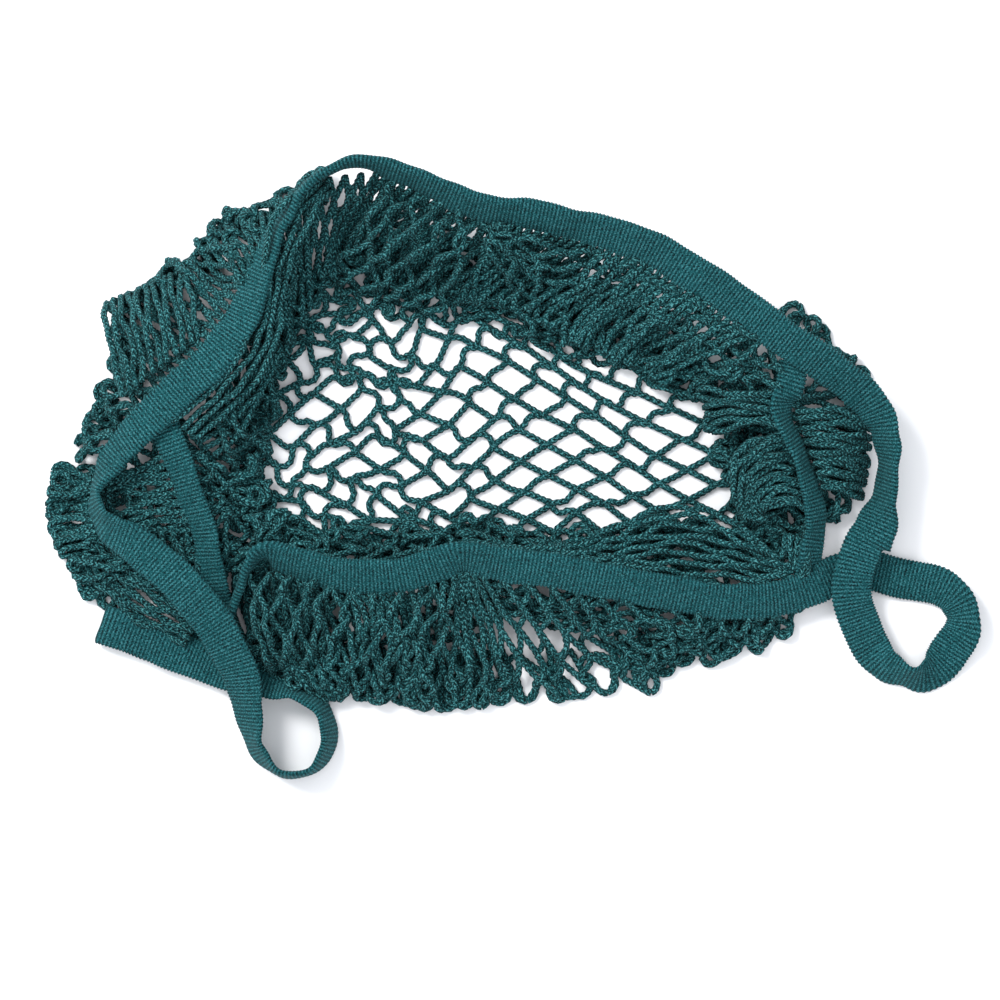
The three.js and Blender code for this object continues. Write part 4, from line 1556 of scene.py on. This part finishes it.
@dataclass
class NetSettler:
    """Lets the nets settle: strands keep their length and stiffness and push each other apart."""

    nets: list
    obstacles: list
    cord_radius: float = 1.4 * MILLIMETRE
    closeness: float = 0.92
    passes: int = 220
    search_every: int = 6
    length_rounds: int = 2
    weight: float = 0.035 * MILLIMETRE
    holding_fade: float = 0.6
    stiffness: float = 0.5
    straightness: float = 0.95
    merging: float = 0.06
    merged_width: float = 2.5
    opposite_reach: float = 1.8
    push_share: float = 0.6
    cell: float = 3.4 * MILLIMETRE

    def settle(self) -> None:
        """Moves all the nets' points to where they come to rest."""
        offsets = np.cumsum([0] + [len(net.points) for net in self.nets])
        points = np.concatenate([net.points for net in self.nets])
        free = ~np.concatenate([net.held for net in self.nets])
        targets = points.copy()
        knots = np.concatenate([np.arange(net.knots) + at for net, at in zip(self.nets, offsets)])
        strands = [net.strands + at for net, at in zip(self.nets, offsets)]
        right = np.concatenate([s[net.leans_right] for s, net in zip(strands, self.nets)])
        left = np.concatenate([s[~net.leans_right] for s, net in zip(strands, self.nets)])
        stars = np.concatenate([
            np.where(net.stars < 0, -1, net.stars + at) for net, at in zip(self.nets, offsets)
        ])
        first = np.arange(len(points))
        second = np.arange(len(points))
        for group in (right, left):
            first[group[:, 1:-1]] = group[:, :1]
            second[group[:, 1:-1]] = group[:, -1:]
        still = np.concatenate([block for block, _ in self.obstacles])
        reach = np.concatenate([np.full(len(block), thick) for block, thick in self.obstacles])
        sizes = np.concatenate([np.full(len(points), self.cord_radius), reach])
        alone = -1 - np.arange(len(still))
        ends = np.concatenate([first, alone]), np.concatenate([second, alone])
        parts = []
        for side in (True, False):
            kept = [np.full((net.leans_right == side).sum(), net.strand_length) for net in self.nets]
            parts.append(np.concatenate(kept)[:, None] / STRAND_PARTS)
        near_held = np.zeros(len(points), bool)
        for group in (right, left):
            near_held[group[~free[group[:, 0]], 1:3]] = True
        holdings = np.concatenate([np.full(net.knots, net.holding) for net in self.nets])
        moving = knots[free[knots]]
        firmness = holdings[free[knots]][:, None]
        for turn in range(self.passes):
            holding = firmness * (1 - self.holding_fade * turn / self.passes)
            points[moving] += (targets[moving] - points[moving]) * holding
            points[free, 2] -= self.weight
            for _ in range(self.length_rounds):
                for group, part in zip((right, left), parts):
                    self._straighten(points, free, group, part)
            self._merge(points, free, stars, float(parts[0].min()))
            if turn % self.search_every == 0:
                places = np.concatenate([points, still])
                pairs = self._close_pairs(places, ends, len(points), near_held)
            self._push(points, still, free, pairs, sizes)
            points[free, 2] = np.maximum(points[free, 2], self.cord_radius)
        for net, at in zip(self.nets, offsets):
            net.points = points[at:at + len(net.points)]

    def _straighten(
        self, points: np.ndarray, free: np.ndarray, group: np.ndarray, part: np.ndarray
    ) -> None:
        """Keeps strands from bending sharply, and brings their parts to their length.

        Args:
            points: All points, which are changed.
            free: Which points can move.
            group: The strands' points.
            part: The length of one part of each strand.
        """
        least = 2 * part * self.straightness
        for one in range(STRAND_PARTS - 1):
            self._space(points, free, (group[:, one], group[:, one + 2]), least, True)
        for one in range(STRAND_PARTS):
            self._space(points, free, (group[:, one], group[:, one + 1]), part, False)

    def _space(
        self, points: np.ndarray, free: np.ndarray, pairs: tuple, length: np.ndarray | float,
        only_apart: bool,
    ) -> None:
        """Brings pairs of points to a distance, or eases apart only those that are nearer.

        Args:
            points: All points, which are changed.
            free: Which points can move.
            pairs: The first and the second point of each pair.
            length: The distance.
            only_apart: Whether it is a least distance, so that only nearer pairs are moved.
        """
        one, other = pairs
        gap = points[other] - points[one]
        far = np.linalg.norm(gap, axis=1, keepdims=True)
        weights = free[one].astype(float) + free[other]
        missed = far - length
        if only_apart:
            missed = np.minimum(missed, 0) * self.stiffness
        move = gap * (missed / np.maximum(far, 1e-9) / np.maximum(weights, 1)[:, None])
        points[one] += move * free[one][:, None]
        points[other] -= move * free[other][:, None]

    def _merge(self, points: np.ndarray, free: np.ndarray, stars: np.ndarray, part: float) -> None:
        """Draws the cords beside each knot together in pairs, along the way the net is stretched.

        Args:
            points: All points, which are changed.
            free: Which points can move.
            stars: The points beside each knot: upper left, upper right, lower left, lower right.
            part: The length of one part of a strand.
        """
        whole = stars[(stars >= 0).all(axis=1)]
        upper_left, upper_right, lower_left, lower_right = (points[whole[:, k]] for k in range(4))
        wide = np.linalg.norm(upper_left + lower_left - upper_right - lower_right, axis=1)
        tall = np.linalg.norm(upper_left + upper_right - lower_left - lower_right, axis=1)
        level = wide > tall
        width = self.merged_width * self.cord_radius
        for picked, joined in ((level, ((0, 2), (1, 3))), (~level, ((0, 1), (2, 3)))):
            for one, other in joined:
                ends = whole[picked][:, one], whole[picked][:, other]
                gap = points[ends[1]] - points[ends[0]]
                far = np.linalg.norm(gap, axis=1, keepdims=True)
                move = gap * (np.maximum(far - width, 0) * self.merging / np.maximum(far, 1e-9))
                points[ends[0]] += move * free[ends[0]][:, None]
                points[ends[1]] -= move * free[ends[1]][:, None]
        for one, other in ((0, 3), (1, 2)):
            least = self.opposite_reach * part
            self._space(points, free, (whole[:, one], whole[:, other]), least, True)

    def _close_pairs(
        self, places: np.ndarray, ends: tuple, moving: int, near_held: np.ndarray
    ) -> tuple[np.ndarray, np.ndarray]:
        """Finds the pairs of points that are near each other and not on joined strands.

        Args:
            places: All points, moving ones first.
            ends: The two knots that each point lies between.
            moving: How many of the points can move.
            near_held: Points so near a held knot that bands don't push them.

        Returns:
            The first and the second point of each pair.
        """
        cells = np.floor((places - places.min(axis=0)) / self.cell).astype(np.int64) + 1
        spans = cells.max(axis=0) + 2
        keys = (cells[:, 0] * spans[1] + cells[:, 1]) * spans[2] + cells[:, 2]
        order = np.argsort(keys, kind="stable")
        ranked = keys[order]
        found_one, found_other = [], []
        for x in (-1, 0, 1):
            for y in (-1, 0, 1):
                for z in (-1, 0, 1):
                    shift = (x * spans[1] + y) * spans[2] + z
                    start = np.searchsorted(ranked, keys[:moving] + shift, "left")
                    count = np.searchsorted(ranked, keys[:moving] + shift, "right") - start
                    one = np.repeat(np.arange(moving), count)
                    step = np.arange(count.sum()) - np.repeat(np.cumsum(count) - count, count)
                    other = order[np.repeat(start, count) + step]
                    keep = other > one
                    found_one.append(one[keep])
                    found_other.append(other[keep])
        one, other = np.concatenate(found_one), np.concatenate(found_other)
        near = np.linalg.norm(places[one] - places[other], axis=1) < self.cell
        one, other = one[near], other[near]
        first, second = ends
        apart = (
            (first[one] != first[other]) & (first[one] != second[other])
            & (second[one] != first[other]) & (second[one] != second[other])
        )
        apart &= ~((other >= moving) & near_held[one])
        return one[apart], other[apart]

    def _push(
        self, points: np.ndarray, still: np.ndarray, free: np.ndarray, pairs: tuple, sizes: np.ndarray
    ) -> None:
        """Pushes near pairs of points apart, to where their cords touch.

        Args:
            points: The moving points, which are changed.
            still: The points of the bands.
            free: Which of the moving points can move.
            pairs: The near pairs.
            sizes: The radius at each point.
        """
        one, other = pairs
        count = len(points)
        places = np.concatenate([points, still])
        loose = np.concatenate([free, np.zeros(len(still), bool)])
        gap = places[other] - places[one]
        far = np.linalg.norm(gap, axis=1)
        wanted = (sizes[one] + sizes[other]) * self.closeness
        short = np.maximum(wanted - far, 0)
        touching = short > 0
        one, other, gap = one[touching], other[touching], gap[touching]
        far, short = far[touching], short[touching]
        weights = np.maximum(loose[one].astype(float) + loose[other], 1)
        move = gap * (short / np.maximum(far, 1e-9) / weights * self.push_share)[:, None]
        total = np.zeros((len(places), 3))
        hits = np.bincount(one, minlength=len(places)) + np.bincount(other, minlength=len(places))
        for axis in range(3):
            total[:, axis] -= np.bincount(one, move[:, axis], len(places))
            total[:, axis] += np.bincount(other, move[:, axis], len(places))
        calmed = total[:count] / np.maximum(np.sqrt(hits[:count]), 1)[:, None]
        points[free] += calmed[free]


@dataclass
class CordSkin:
    """The knitted skin round every strand of a net."""

    radius: float = 1.32 * MILLIMETRE
    rings: int = 11
    sides: int = 5
    bulge: float = 0.13
    end_size: float = 0.96
    steep_limit: float = 0.9
    stitches: int = 5

    def parts(self, centres: np.ndarray) -> MeshParts:
        """Builds the skin of strands of cord.

        Args:
            centres: The points along the middle of each strand.

        Returns:
            Corners, faces and cloth map.
        """
        strands = len(centres)
        along = unit(np.gradient(centres, axis=1))
        steep = np.abs(along[:, 0, 2:]) > self.steep_limit
        reference = np.where(steep, [[1.0, 0, 0]], [[0, 0, 1.0]])
        side = unit(np.cross(along[:, 0], reference))
        rings = []
        angles = FULL_TURN * np.arange(self.sides) / self.sides
        for ring in range(self.rings):
            side = unit(side - along[:, ring] * (side * along[:, ring]).sum(axis=1, keepdims=True))
            other = np.cross(along[:, ring], side)
            beat = 1 if ring % 2 else -1
            swell = 1 + self.bulge * beat * np.cos(angles)
            if ring in (0, self.rings - 1):
                swell = np.full(self.sides, self.end_size)
            reach = self.radius * swell
            rings.append(
                centres[:, ring, None, :]
                + side[:, None, :] * (reach * np.cos(angles))[None, :, None]
                + other[:, None, :] * (reach * np.sin(angles))[None, :, None]
            )
        corners = np.stack(rings, axis=1)
        corners[..., 2] = np.maximum(corners[..., 2], 0)
        return self._woven(corners, strands)

    def centres(self, net: Netting) -> np.ndarray:
        """The line of each strand, carried smoothly through its knots.

        Args:
            net: The settled net.

        Returns:
            Points by strand and ring.
        """
        own = net.points[net.strands]
        opposite = np.where(net.leans_right, 0, 1)
        before = net.stars[net.strands[:, 0], opposite]
        opposite = np.where(net.leans_right, 3, 2)
        after = net.stars[net.strands[:, -1], opposite]
        lead = np.where((before >= 0)[:, None], net.points[before], 2 * own[:, 0] - own[:, 1])
        tail = np.where((after >= 0)[:, None], net.points[after], 2 * own[:, -1] - own[:, -2])
        line = np.concatenate([lead[:, None], own, tail[:, None]], axis=1)
        places = np.linspace(0, STRAND_PARTS, self.rings)
        span = np.minimum(places.astype(int), STRAND_PARTS - 1)
        part = (places - span)[None, :, None]
        start, end = line[:, span + 1], line[:, span + 2]
        leaving = (end - line[:, span]) / 2
        reaching = (line[:, span + 3] - start) / 2
        return curved(start, end, leaving, reaching, part)

    def _woven(self, corners: np.ndarray, strands: int) -> MeshParts:
        """Joins the rings of every strand into skins with closed ends.

        Args:
            corners: Corners by strand, ring and side.
            strands: How many strands there are.

        Returns:
            The mesh parts.
        """
        rings, sides = self.rings, self.sides
        ring, side = np.meshgrid(np.arange(rings - 1), np.arange(sides), indexing="ij")
        following = (side + 1) % sides
        quads = np.stack([
            ring * sides + side, ring * sides + following,
            (ring + 1) * sides + following, (ring + 1) * sides + side,
        ], axis=-1).reshape(-1, 4)
        pace = self.stitches / (rings - 1)
        corner_map = np.stack([ring, ring, ring + 1, ring + 1], axis=-1).reshape(-1, 4) * pace
        side_map = np.stack([side, side + 1, side + 1, side], axis=-1).reshape(-1, 4) / sides
        last = (rings - 1) * sides
        starts = (np.arange(strands) * rings * sides)[:, None, None]
        skins = (quads[None] + starts).reshape(-1, 4)
        skin_places = np.stack([
            np.tile(corner_map.ravel(), strands), np.tile(side_map.ravel(), strands),
        ], axis=1)
        rim = np.arange(sides)
        caps = np.stack([rim[::-1], rim + last])
        ends = (caps[None] + starts).reshape(-1, sides)
        end_places = np.zeros((ends.size, 2))
        return MeshParts(
            corners.reshape(-1, 3), [skins, ends], np.concatenate([skin_places, end_places])
        )


@dataclass
class CordSheaf:
    """Cords of taut net that run side by side, and part and meet again from place to place."""

    plan: SheafPlan
    mesh_length: float = 19 * MILLIMETRE
    strand_length: float = 10.6 * MILLIMETRE
    points_to_a_row: int = 40
    start_spread: float = 0.7
    unevenness: float = 0.8
    uneven_pace: float = 0.37
    loop_points: int = 24
    loop_lead: int = 8
    loop_reach: float = 1.3

    SWAY_WAVES = ((0.045, 0.9), (0.021, 0.6), (0.011, 0.35))

    def lines(self) -> list[np.ndarray]:
        """The middle line of every cord.

        Returns:
            Closely spaced points for each cord.
        """
        rows, cords = self.plan.rows, self.plan.cords
        last = np.array([placed(row.last_x, row.last_y, row.last_rise) for row in rows])
        shares = np.linspace(0, 1, self.points_to_a_row * len(rows))
        near = SmoothCurve(placed_rows(rows), False, Knots.CENTRIPETAL).at(shares)
        far = SmoothCurve(last, False, Knots.CENTRIPETAL).at(shares)
        aside = unit(far - near)
        chance = np.random.default_rng(self.plan.seed)
        found = []
        for cord in range(cords):
            part = cord / max(1, cords - 1)
            line = near + (far - near) * part
            gone = lengths_along(line)
            late = chance.uniform(-self.start_spread, self.start_spread)
            turn = FULL_TURN * gone / self.mesh_length + late
            uneven = turn + self.unevenness * np.sin(turn * self.uneven_pace)
            opening = self.plan.opening * MILLIMETRE * (1 if cord % 2 else -1)
            sway = self._sway(gone, chance)
            lift = self._sway(gone, chance)
            line = line + aside * (opening * np.cos(uneven) + sway)[:, None]
            line[:, 2] += lift + opening * np.sin(turn)
            found.append(line)
        if self.plan.looped:
            found += self._loops(found)
        return found

    def _sway(self, gone: np.ndarray, chance: np.random.Generator) -> np.ndarray:
        """Small wavy shifts along a cord.

        Args:
            gone: The length gone at each point.
            chance: The source of the waves' phases.

        Returns:
            One shift for each point.
        """
        total = np.zeros_like(gone)
        for wave, share in self.SWAY_WAVES:
            total += share * np.sin(FULL_TURN * gone / wave + chance.uniform(0, FULL_TURN))
        return total * (self.plan.slack * MILLIMETRE)

    def _loops(self, found: list) -> list[np.ndarray]:
        """The bends that join the ends of neighbouring cords.

        Args:
            found: The cords' middle lines.

        Returns:
            The middle line of each bend.
        """
        bends = []
        half_turn = np.linspace(0, np.pi, self.loop_points)[:, None]
        for one, other in zip(found[::2], found[1::2]):
            middle = (one[-1] + other[-1]) / 2
            reach = (one[-1] - other[-1]) / 2
            lead = unit(one[-1] - one[-self.loop_lead])
            ahead = lead * np.linalg.norm(reach) * self.loop_reach
            bends.append(middle + reach * np.cos(half_turn) + ahead * np.sin(half_turn))
        return bends

    def centres(self, rings: int) -> np.ndarray:
        """The cords, cut into strands.

        Args:
            rings: How many points each strand has.

        Returns:
            Points by strand and ring.
        """
        strands = []
        for line in self.lines():
            gone = lengths_along(line)
            count = max(1, round(gone[-1] / self.strand_length))
            places = np.linspace(0, gone[-1], count * (rings - 1) + 1)
            points = np.stack([np.interp(places, gone, values) for values in line.T], axis=1)
            for strand in range(count):
                strands.append(points[strand * (rings - 1):(strand + 1) * (rings - 1) + 1])
        return np.array(strands)


class CrowdingWave(NamedTuple):
    """A wave in how close the pleats lie: its strength, turns, slant, and how seeds shift it."""

    strength: float
    turns: int
    slant: float
    seeds: int


@dataclass
class NetStretch:
    """A stretch of net that leaves the bands in pleats and lies down on the surface."""

    name: str
    rows: tuple
    bound: tuple
    levels: int
    pleats: int
    closed: bool = False
    rests_on: float = 0.0
    pleat_depth: float = 3.0 * MILLIMETRE
    net_thickness: float = 2.2 * MILLIMETRE
    fold_back: float = 4.0 * MILLIMETRE
    bunch: float = 0.010
    wander: float = 0.012
    slide: float = 0.07
    shoulder_place: float = 0.55
    side_step: float = 0.004
    loosened_by: int = 3
    fine_pleats: float = 0.4
    fine_slant: float = 4.0
    fine_drift: float = 1.7
    swell_end: float = 0.8
    gap_column: float = 3.4 * MILLIMETRE
    holding: float = 0.03
    strand_length: float = 10.6 * MILLIMETRE
    shift: float = 2.4 * MILLIMETRE
    seed: int = 1

    DRIFT_SEEDS = 7
    CROWDING = (CrowdingWave(1.3, 3, 0.0, 1), CrowdingWave(0.9, 5, 2.0, 2))

    def tied(self, bands: dict) -> Netting:
        """Lays the net over its surface.

        Args:
            bands: The bands by name.

        Returns:
            The net before it settles.
        """
        u = self.columns(bands)
        v = np.arange(self.levels + 1) / self.levels
        grid_u, grid_v = np.meshgrid(u, v)
        places = self.surface(grid_u.ravel(), grid_v.ravel(), bands)
        places = places.reshape(len(v), len(u), 3)
        return Netting.tied(
            self.name, places, self.closed, 1, self.seed, self.shift, self.holding,
            self.strand_length,
        )

    def columns(self, bands: dict) -> np.ndarray:
        """The places of the columns of knots along the bound edge.

        Args:
            bands: The bands by name.

        Returns:
            Places from 0 to 1.
        """
        spots = sum(run.count for run in self.bound)
        spans = spots if self.closed else spots - 1
        places = []
        gone = 0
        for index, run in enumerate(self.bound):
            end = gone + run.count - 1
            places.append(np.linspace(gone, end, run.columns, endpoint=False))
            last = index == len(self.bound) - 1
            if not last or self.closed:
                following = self.bound[(index + 1) % len(self.bound)]
                here = self._spot(run, run.end, bands)
                wide = np.linalg.norm(self._spot(following, following.start, bands) - here)
                across = 2 * max(1, round(wide / self.gap_column / 2))
                places.append(np.linspace(end, end + 1, across, endpoint=False))
            else:
                places.append(np.array([float(end)]))
            gone = end + 1
        return np.concatenate(places) / spans

    def edge_line(self, u: np.ndarray, bands: dict) -> np.ndarray:
        """The bound edge of the net.

        Args:
            u: Places along it, from 0 to 1.
            bands: The bands by name.

        Returns:
            One point for each place.
        """
        spots = []
        for run in self.bound:
            shares = np.linspace(run.start, run.end, run.count)
            spots += [(run, share) for share in shares]
        count = len(spots)
        spans = count if self.closed else count - 1
        fine = 8
        line = []
        for index in range(spans):
            here, there = spots[index], spots[(index + 1) % count]
            for step in range(fine + (index == spans - 1)):
                part = step / fine
                if here[0] is there[0] and here[1] < there[1]:
                    share = here[1] + (there[1] - here[1]) * part
                    line.append(self._spot(here[0], share, bands))
                else:
                    start = self._spot(here[0], here[1], bands)
                    end = self._spot(there[0], there[1], bands)
                    line.append(start + (end - start) * part)
        line = np.array(line)
        places = np.linspace(0, 1, len(line))
        return np.stack([np.interp(u, places, values) for values in line.T], axis=1)

    @staticmethod
    def _spot(run: BoundRun, share: float, bands: dict) -> np.ndarray:
        """The place on a band where the net starts.

        Args:
            run: The run of the band that binds the net.
            share: A share of the band's length.
            bands: The bands by name.

        Returns:
            The place.
        """
        band = bands[run.band]
        point, across, _ = band.stations.at(np.array([share]))
        place = point[0] + across[0] * run.edge * band.width
        place[2] -= run.drop * SPREAD[2]
        return place

    def surface(self, u: np.ndarray, v: np.ndarray, bands: dict) -> np.ndarray:
        """The middle surface of the net.

        Args:
            u: Places along the bound edge.
            v: Places from the bound edge to the tucked end.
            bands: The bands by name.

        Returns:
            One point for each pair of places.
        """
        loose = np.clip(v * self.loosened_by, 0, 1)
        cells = max(3, self.pleats)
        grids = ((cells, 3), (cells, 3), (2 * cells, 4), (max(2, cells // 3), 3))
        aside, ahead, raised, wandering = (
            Drift(self.seed * self.DRIFT_SEEDS + number, *grid, self.closed).at(u, v)
            for number, grid in enumerate(grids, start=1)
        )
        u = u + (self.bunch * aside + self.wander * wandering) * loose
        v = v + self.slide * ahead * loose * (1 - v)
        plain = self._plain(u, v, bands)
        step = self.side_step
        beside = self._plain(u + step, v, bands) - self._plain(u - step, v, bands)
        down = self._plain(u, v + step, bands) - self._plain(u, v - step, bands)
        normal = unit(np.cross(beside, down))
        turn = FULL_TURN * u
        drift = self._drift(turn, v)
        wave = np.sin(self.pleats * turn + drift)
        fine = 2 * self.pleats * turn + self.fine_slant * v + drift * self.fine_drift
        wave += self.fine_pleats * np.sin(fine) + raised
        swell = np.sin(np.pi * np.clip(v, 0, self.swell_end))
        points = plain + normal * (swell * self.pleat_depth * wave)[:, None]
        crossed = np.cos(self.pleats * turn + drift) * swell * self.fold_back
        points += unit(beside) * crossed[:, None]
        points[:, 2] = np.maximum(points[:, 2], self.net_thickness / 2)
        return points

    def _drift(self, turn: np.ndarray, v: np.ndarray) -> np.ndarray:
        """How far the pleats crowd together or spread.

        Args:
            turn: Places along the bound edge, as angles.
            v: Places away from it.

        Returns:
            An angle for each place.
        """
        total = 0.0
        for wave in self.CROWDING:
            angle = wave.turns * turn + wave.slant * v + wave.seeds * self.seed
            total = total + wave.strength * np.sin(angle)
        return total

    def _plain(self, u: np.ndarray, v: np.ndarray, bands: dict) -> np.ndarray:
        """The middle surface without its pleats.

        Args:
            u: Places along the bound edge.
            v: Places from the bound edge to the tucked end.
            bands: The bands by name.

        Returns:
            One point for each pair of places.
        """
        u = u % 1 if self.closed else np.clip(u, 0, 1)
        v = np.clip(v, 0, 1)
        outer = SmoothCurve(placed_rows(self.rows), self.closed).at(u)
        shapes = np.array([[row.tuck, row.puff * SPREAD[2]] for row in self.rows])
        shaping = SmoothCurve(shapes, self.closed).at(u)
        top = self.edge_line(u, bands)
        shoulder = top + (outer - top) * self.shoulder_place
        shoulder[:, 2] += shaping[:, 1]
        foot = outer + (top - outer) * shaping[:, :1]
        foot[:, 2] = self.rests_on + self.net_thickness / 2
        four = np.stack([top, shoulder, outer, foot])
        return self._through(four, v)

    @staticmethod
    def _through(four: np.ndarray, v: np.ndarray) -> np.ndarray:
        """Points on the curves through four points each.

        Args:
            four: Four sets of points.
            v: One place from 0 to 1 for each curve.

        Returns:
            One point for each curve.
        """
        led = np.concatenate([2 * four[:1] - four[1:2], four, 2 * four[-1:] - four[-2:-1]])
        place = v * 3
        span = np.minimum(place.astype(int), 2)
        part = (place - span)[:, None]
        pick = np.arange(len(v))
        before, start, end, after = (led[span + step, pick] for step in range(4))
        return curved(start, end, (end - before) / 2, (after - start) / 2, part)


class FloorWave(NamedTuple):
    """A wave in the flat net: its reach in mm, its pace in x and in y, and its phase."""

    reach: float
    pace_x: float
    pace_y: float
    phase: float

    def at(self, x: np.ndarray, y: np.ndarray) -> np.ndarray:
        """How far the wave moves the net at places given as shares of the spread."""
        return self.reach * MILLIMETRE * np.sin(x * self.pace_x + y * self.pace_y + self.phase)


@dataclass
class FloorNet:
    """The single layer of net that lies flat inside the mouth."""

    name: str = "net_floor"
    rows: tuple = FLOOR_ROWS
    columns: int = 20
    levels: int = 22
    rest: float = 1.3 * MILLIMETRE
    left_crowding: float = 0.06
    holding: float = 0.14
    strand_length: float = 11.5 * MILLIMETRE
    shift: float = 3.4 * MILLIMETRE
    seed: int = 11

    BENT_ACROSS = (FloorWave(3, 0, 12, 2.0), FloorWave(2, 9, 23, 0.0))
    BENT_ALONG = (FloorWave(3, 14, 0, 1.0), FloorWave(2, 31, 9, 0.0))

    def tied(self) -> Netting:
        """Lays the net flat.

        Returns:
            The net before it settles.
        """
        ends = SmoothCurve(np.array([[row.left, row.y, row.right] for row in self.rows]))
        v = np.arange(self.levels + 1) / self.levels
        u = np.arange(self.columns + 1) / self.columns
        u = u - self.left_crowding * np.sin(np.pi * u)
        level = ends.at(v)
        x = level[:, :1] + (level[:, 2:] - level[:, :1]) * u[None]
        y = np.repeat(level[:, 1:2], len(u), axis=1)
        places = np.stack([x * SPREAD[0], y * SPREAD[1], np.full_like(x, self.rest)], axis=-1)
        places[..., :2] += MIDDLE[:2]
        for axis, waves in enumerate((self.BENT_ACROSS, self.BENT_ALONG)):
            places[..., axis] += sum(wave.at(x, y) for wave in waves)
        net = Netting.tied(
            self.name, places, False, 0, self.seed, self.shift, self.holding, self.strand_length
        )
        outermost = np.zeros(len(net.points), bool)
        outermost[:net.knots] = (net.stars < 0).any(axis=1)
        net.held |= outermost
        return net


@dataclass
class NetWork:
    """All the bag's net: its stretches, the flat net in the mouth, and how they settle."""

    obstacle_spacing: float = 2.4 * MILLIMETRE
    floor_net_rest: float = 1.95 * MILLIMETRE

    def stretches(self) -> list[NetStretch]:
        """The stretches of net, each with the bands that bind it.

        Returns:
            The stretches, in the order in which they are laid.
        """
        wall = (
            BoundRun("side_band_right", 0.16, 0.80, 0.3, 0.1, 4, 26),
            BoundRun("rim_band_back", 0.11, 0.54, -0.44, 0, 7, 90),
            BoundRun("rim_band_back", 0.61, 0.8, 0.3, 0.1, 4, 30),
            BoundRun("side_band_left", 0.18, 0.80, 0.3, 0.1, 3, 18),
            BoundRun("rim_band_front", 0.18, 0.85, 0.3, 0.12, 6, 26),
        )
        bulge = (BoundRun("rim_band_back", 0.61, 0.96, -0.44, 0, 9, 54),)
        left_fan = (BoundRun("side_band_left", 0.18, 0.88, -0.44, 0, 6, 28),)
        skirt = (
            BoundRun("rim_band_front", 0.05, 0.47, -0.44, 0, 7, 54),
            BoundRun("rim_band_front", 0.50, 0.96, -0.44, 0, 6, 24),
        )
        right_fan = (
            BoundRun("side_band_right", 0.36, 0.88, -0.44, 0, 7, 18),
            BoundRun("rim_band_back", 0.03, 0.1, -0.4, 0.16, 4, 8),
        )
        return [
            NetStretch(
                "net_wall_inner", WALL_ROWS, wall, 6, 27, True, self.floor_net_rest,
                bunch=0.012, wander=0.03, shift=3.4 * MILLIMETRE, seed=2,
            ),
            NetStretch(
                "net_bulge_left", BULGE_ROWS, bulge, 5, 9, wander=0.03, shift=3.6 * MILLIMETRE,
                seed=3,
            ),
            NetStretch("net_fan_left", LEFT_FAN_ROWS, left_fan, 7, 5, seed=4),
            NetStretch(
                "net_skirt_front", SKIRT_ROWS, skirt, 7, 14, bunch=0.02, wander=0.03,
                strand_length=11.6 * MILLIMETRE, shift=4.6 * MILLIMETRE, seed=5,
            ),
            NetStretch("net_fan_right", RIGHT_FAN_ROWS, right_fan, 4, 7, seed=6),
        ]

    def build(self, bands: BandWork, finish: ChainKnitFinish) -> None:
        """Ties, settles, skins and dresses every net.

        Args:
            bands: The finished bands.
            finish: The cord's cotton.
        """
        nets = [stretch.tied(bands.bands) for stretch in self.stretches()]
        nets.append(FloorNet().tied())
        skin = CordSkin()
        sheaves = [CordSheaf(plan) for plan in SHEAF_PLANS]
        obstacles = list(bands.obstacles(self.obstacle_spacing))
        for sheaf in sheaves:
            obstacles.append((sheaf.centres(STRAND_PARTS + 1).reshape(-1, 3), skin.radius))
        NetSettler(nets, obstacles).settle()
        material = finish.made()
        for net in nets:
            centres = [skin.centres(net)]
            own = [sheaf for sheaf in sheaves if sheaf.plan.net == net.name]
            centres += [sheaf.centres(skin.rings) for sheaf in own]
            thing = skin.parts(np.concatenate(centres)).made(f"{net.name}_cords", finish.map_name)
            thing.data.materials.append(material)
            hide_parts(net.name)
            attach(thing, BODY)
            faces = len(thing.data.polygons)
            log.info("%s: %d strands, %d faces", thing.name, len(net.strands), faces)


def main() -> None:
    logging.basicConfig(level=logging.INFO, format="%(name)s %(message)s")
    studio = Studio()
    studio.set_camera()
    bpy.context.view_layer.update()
    studio.set_light()
    studio.lay_floor()
    bands = BandWork()
    bands.run()
    bands.build(RibbedKnitFinish())
    NetWork().build(bands, ChainKnitFinish())


if __name__ == "__main__":
    main()
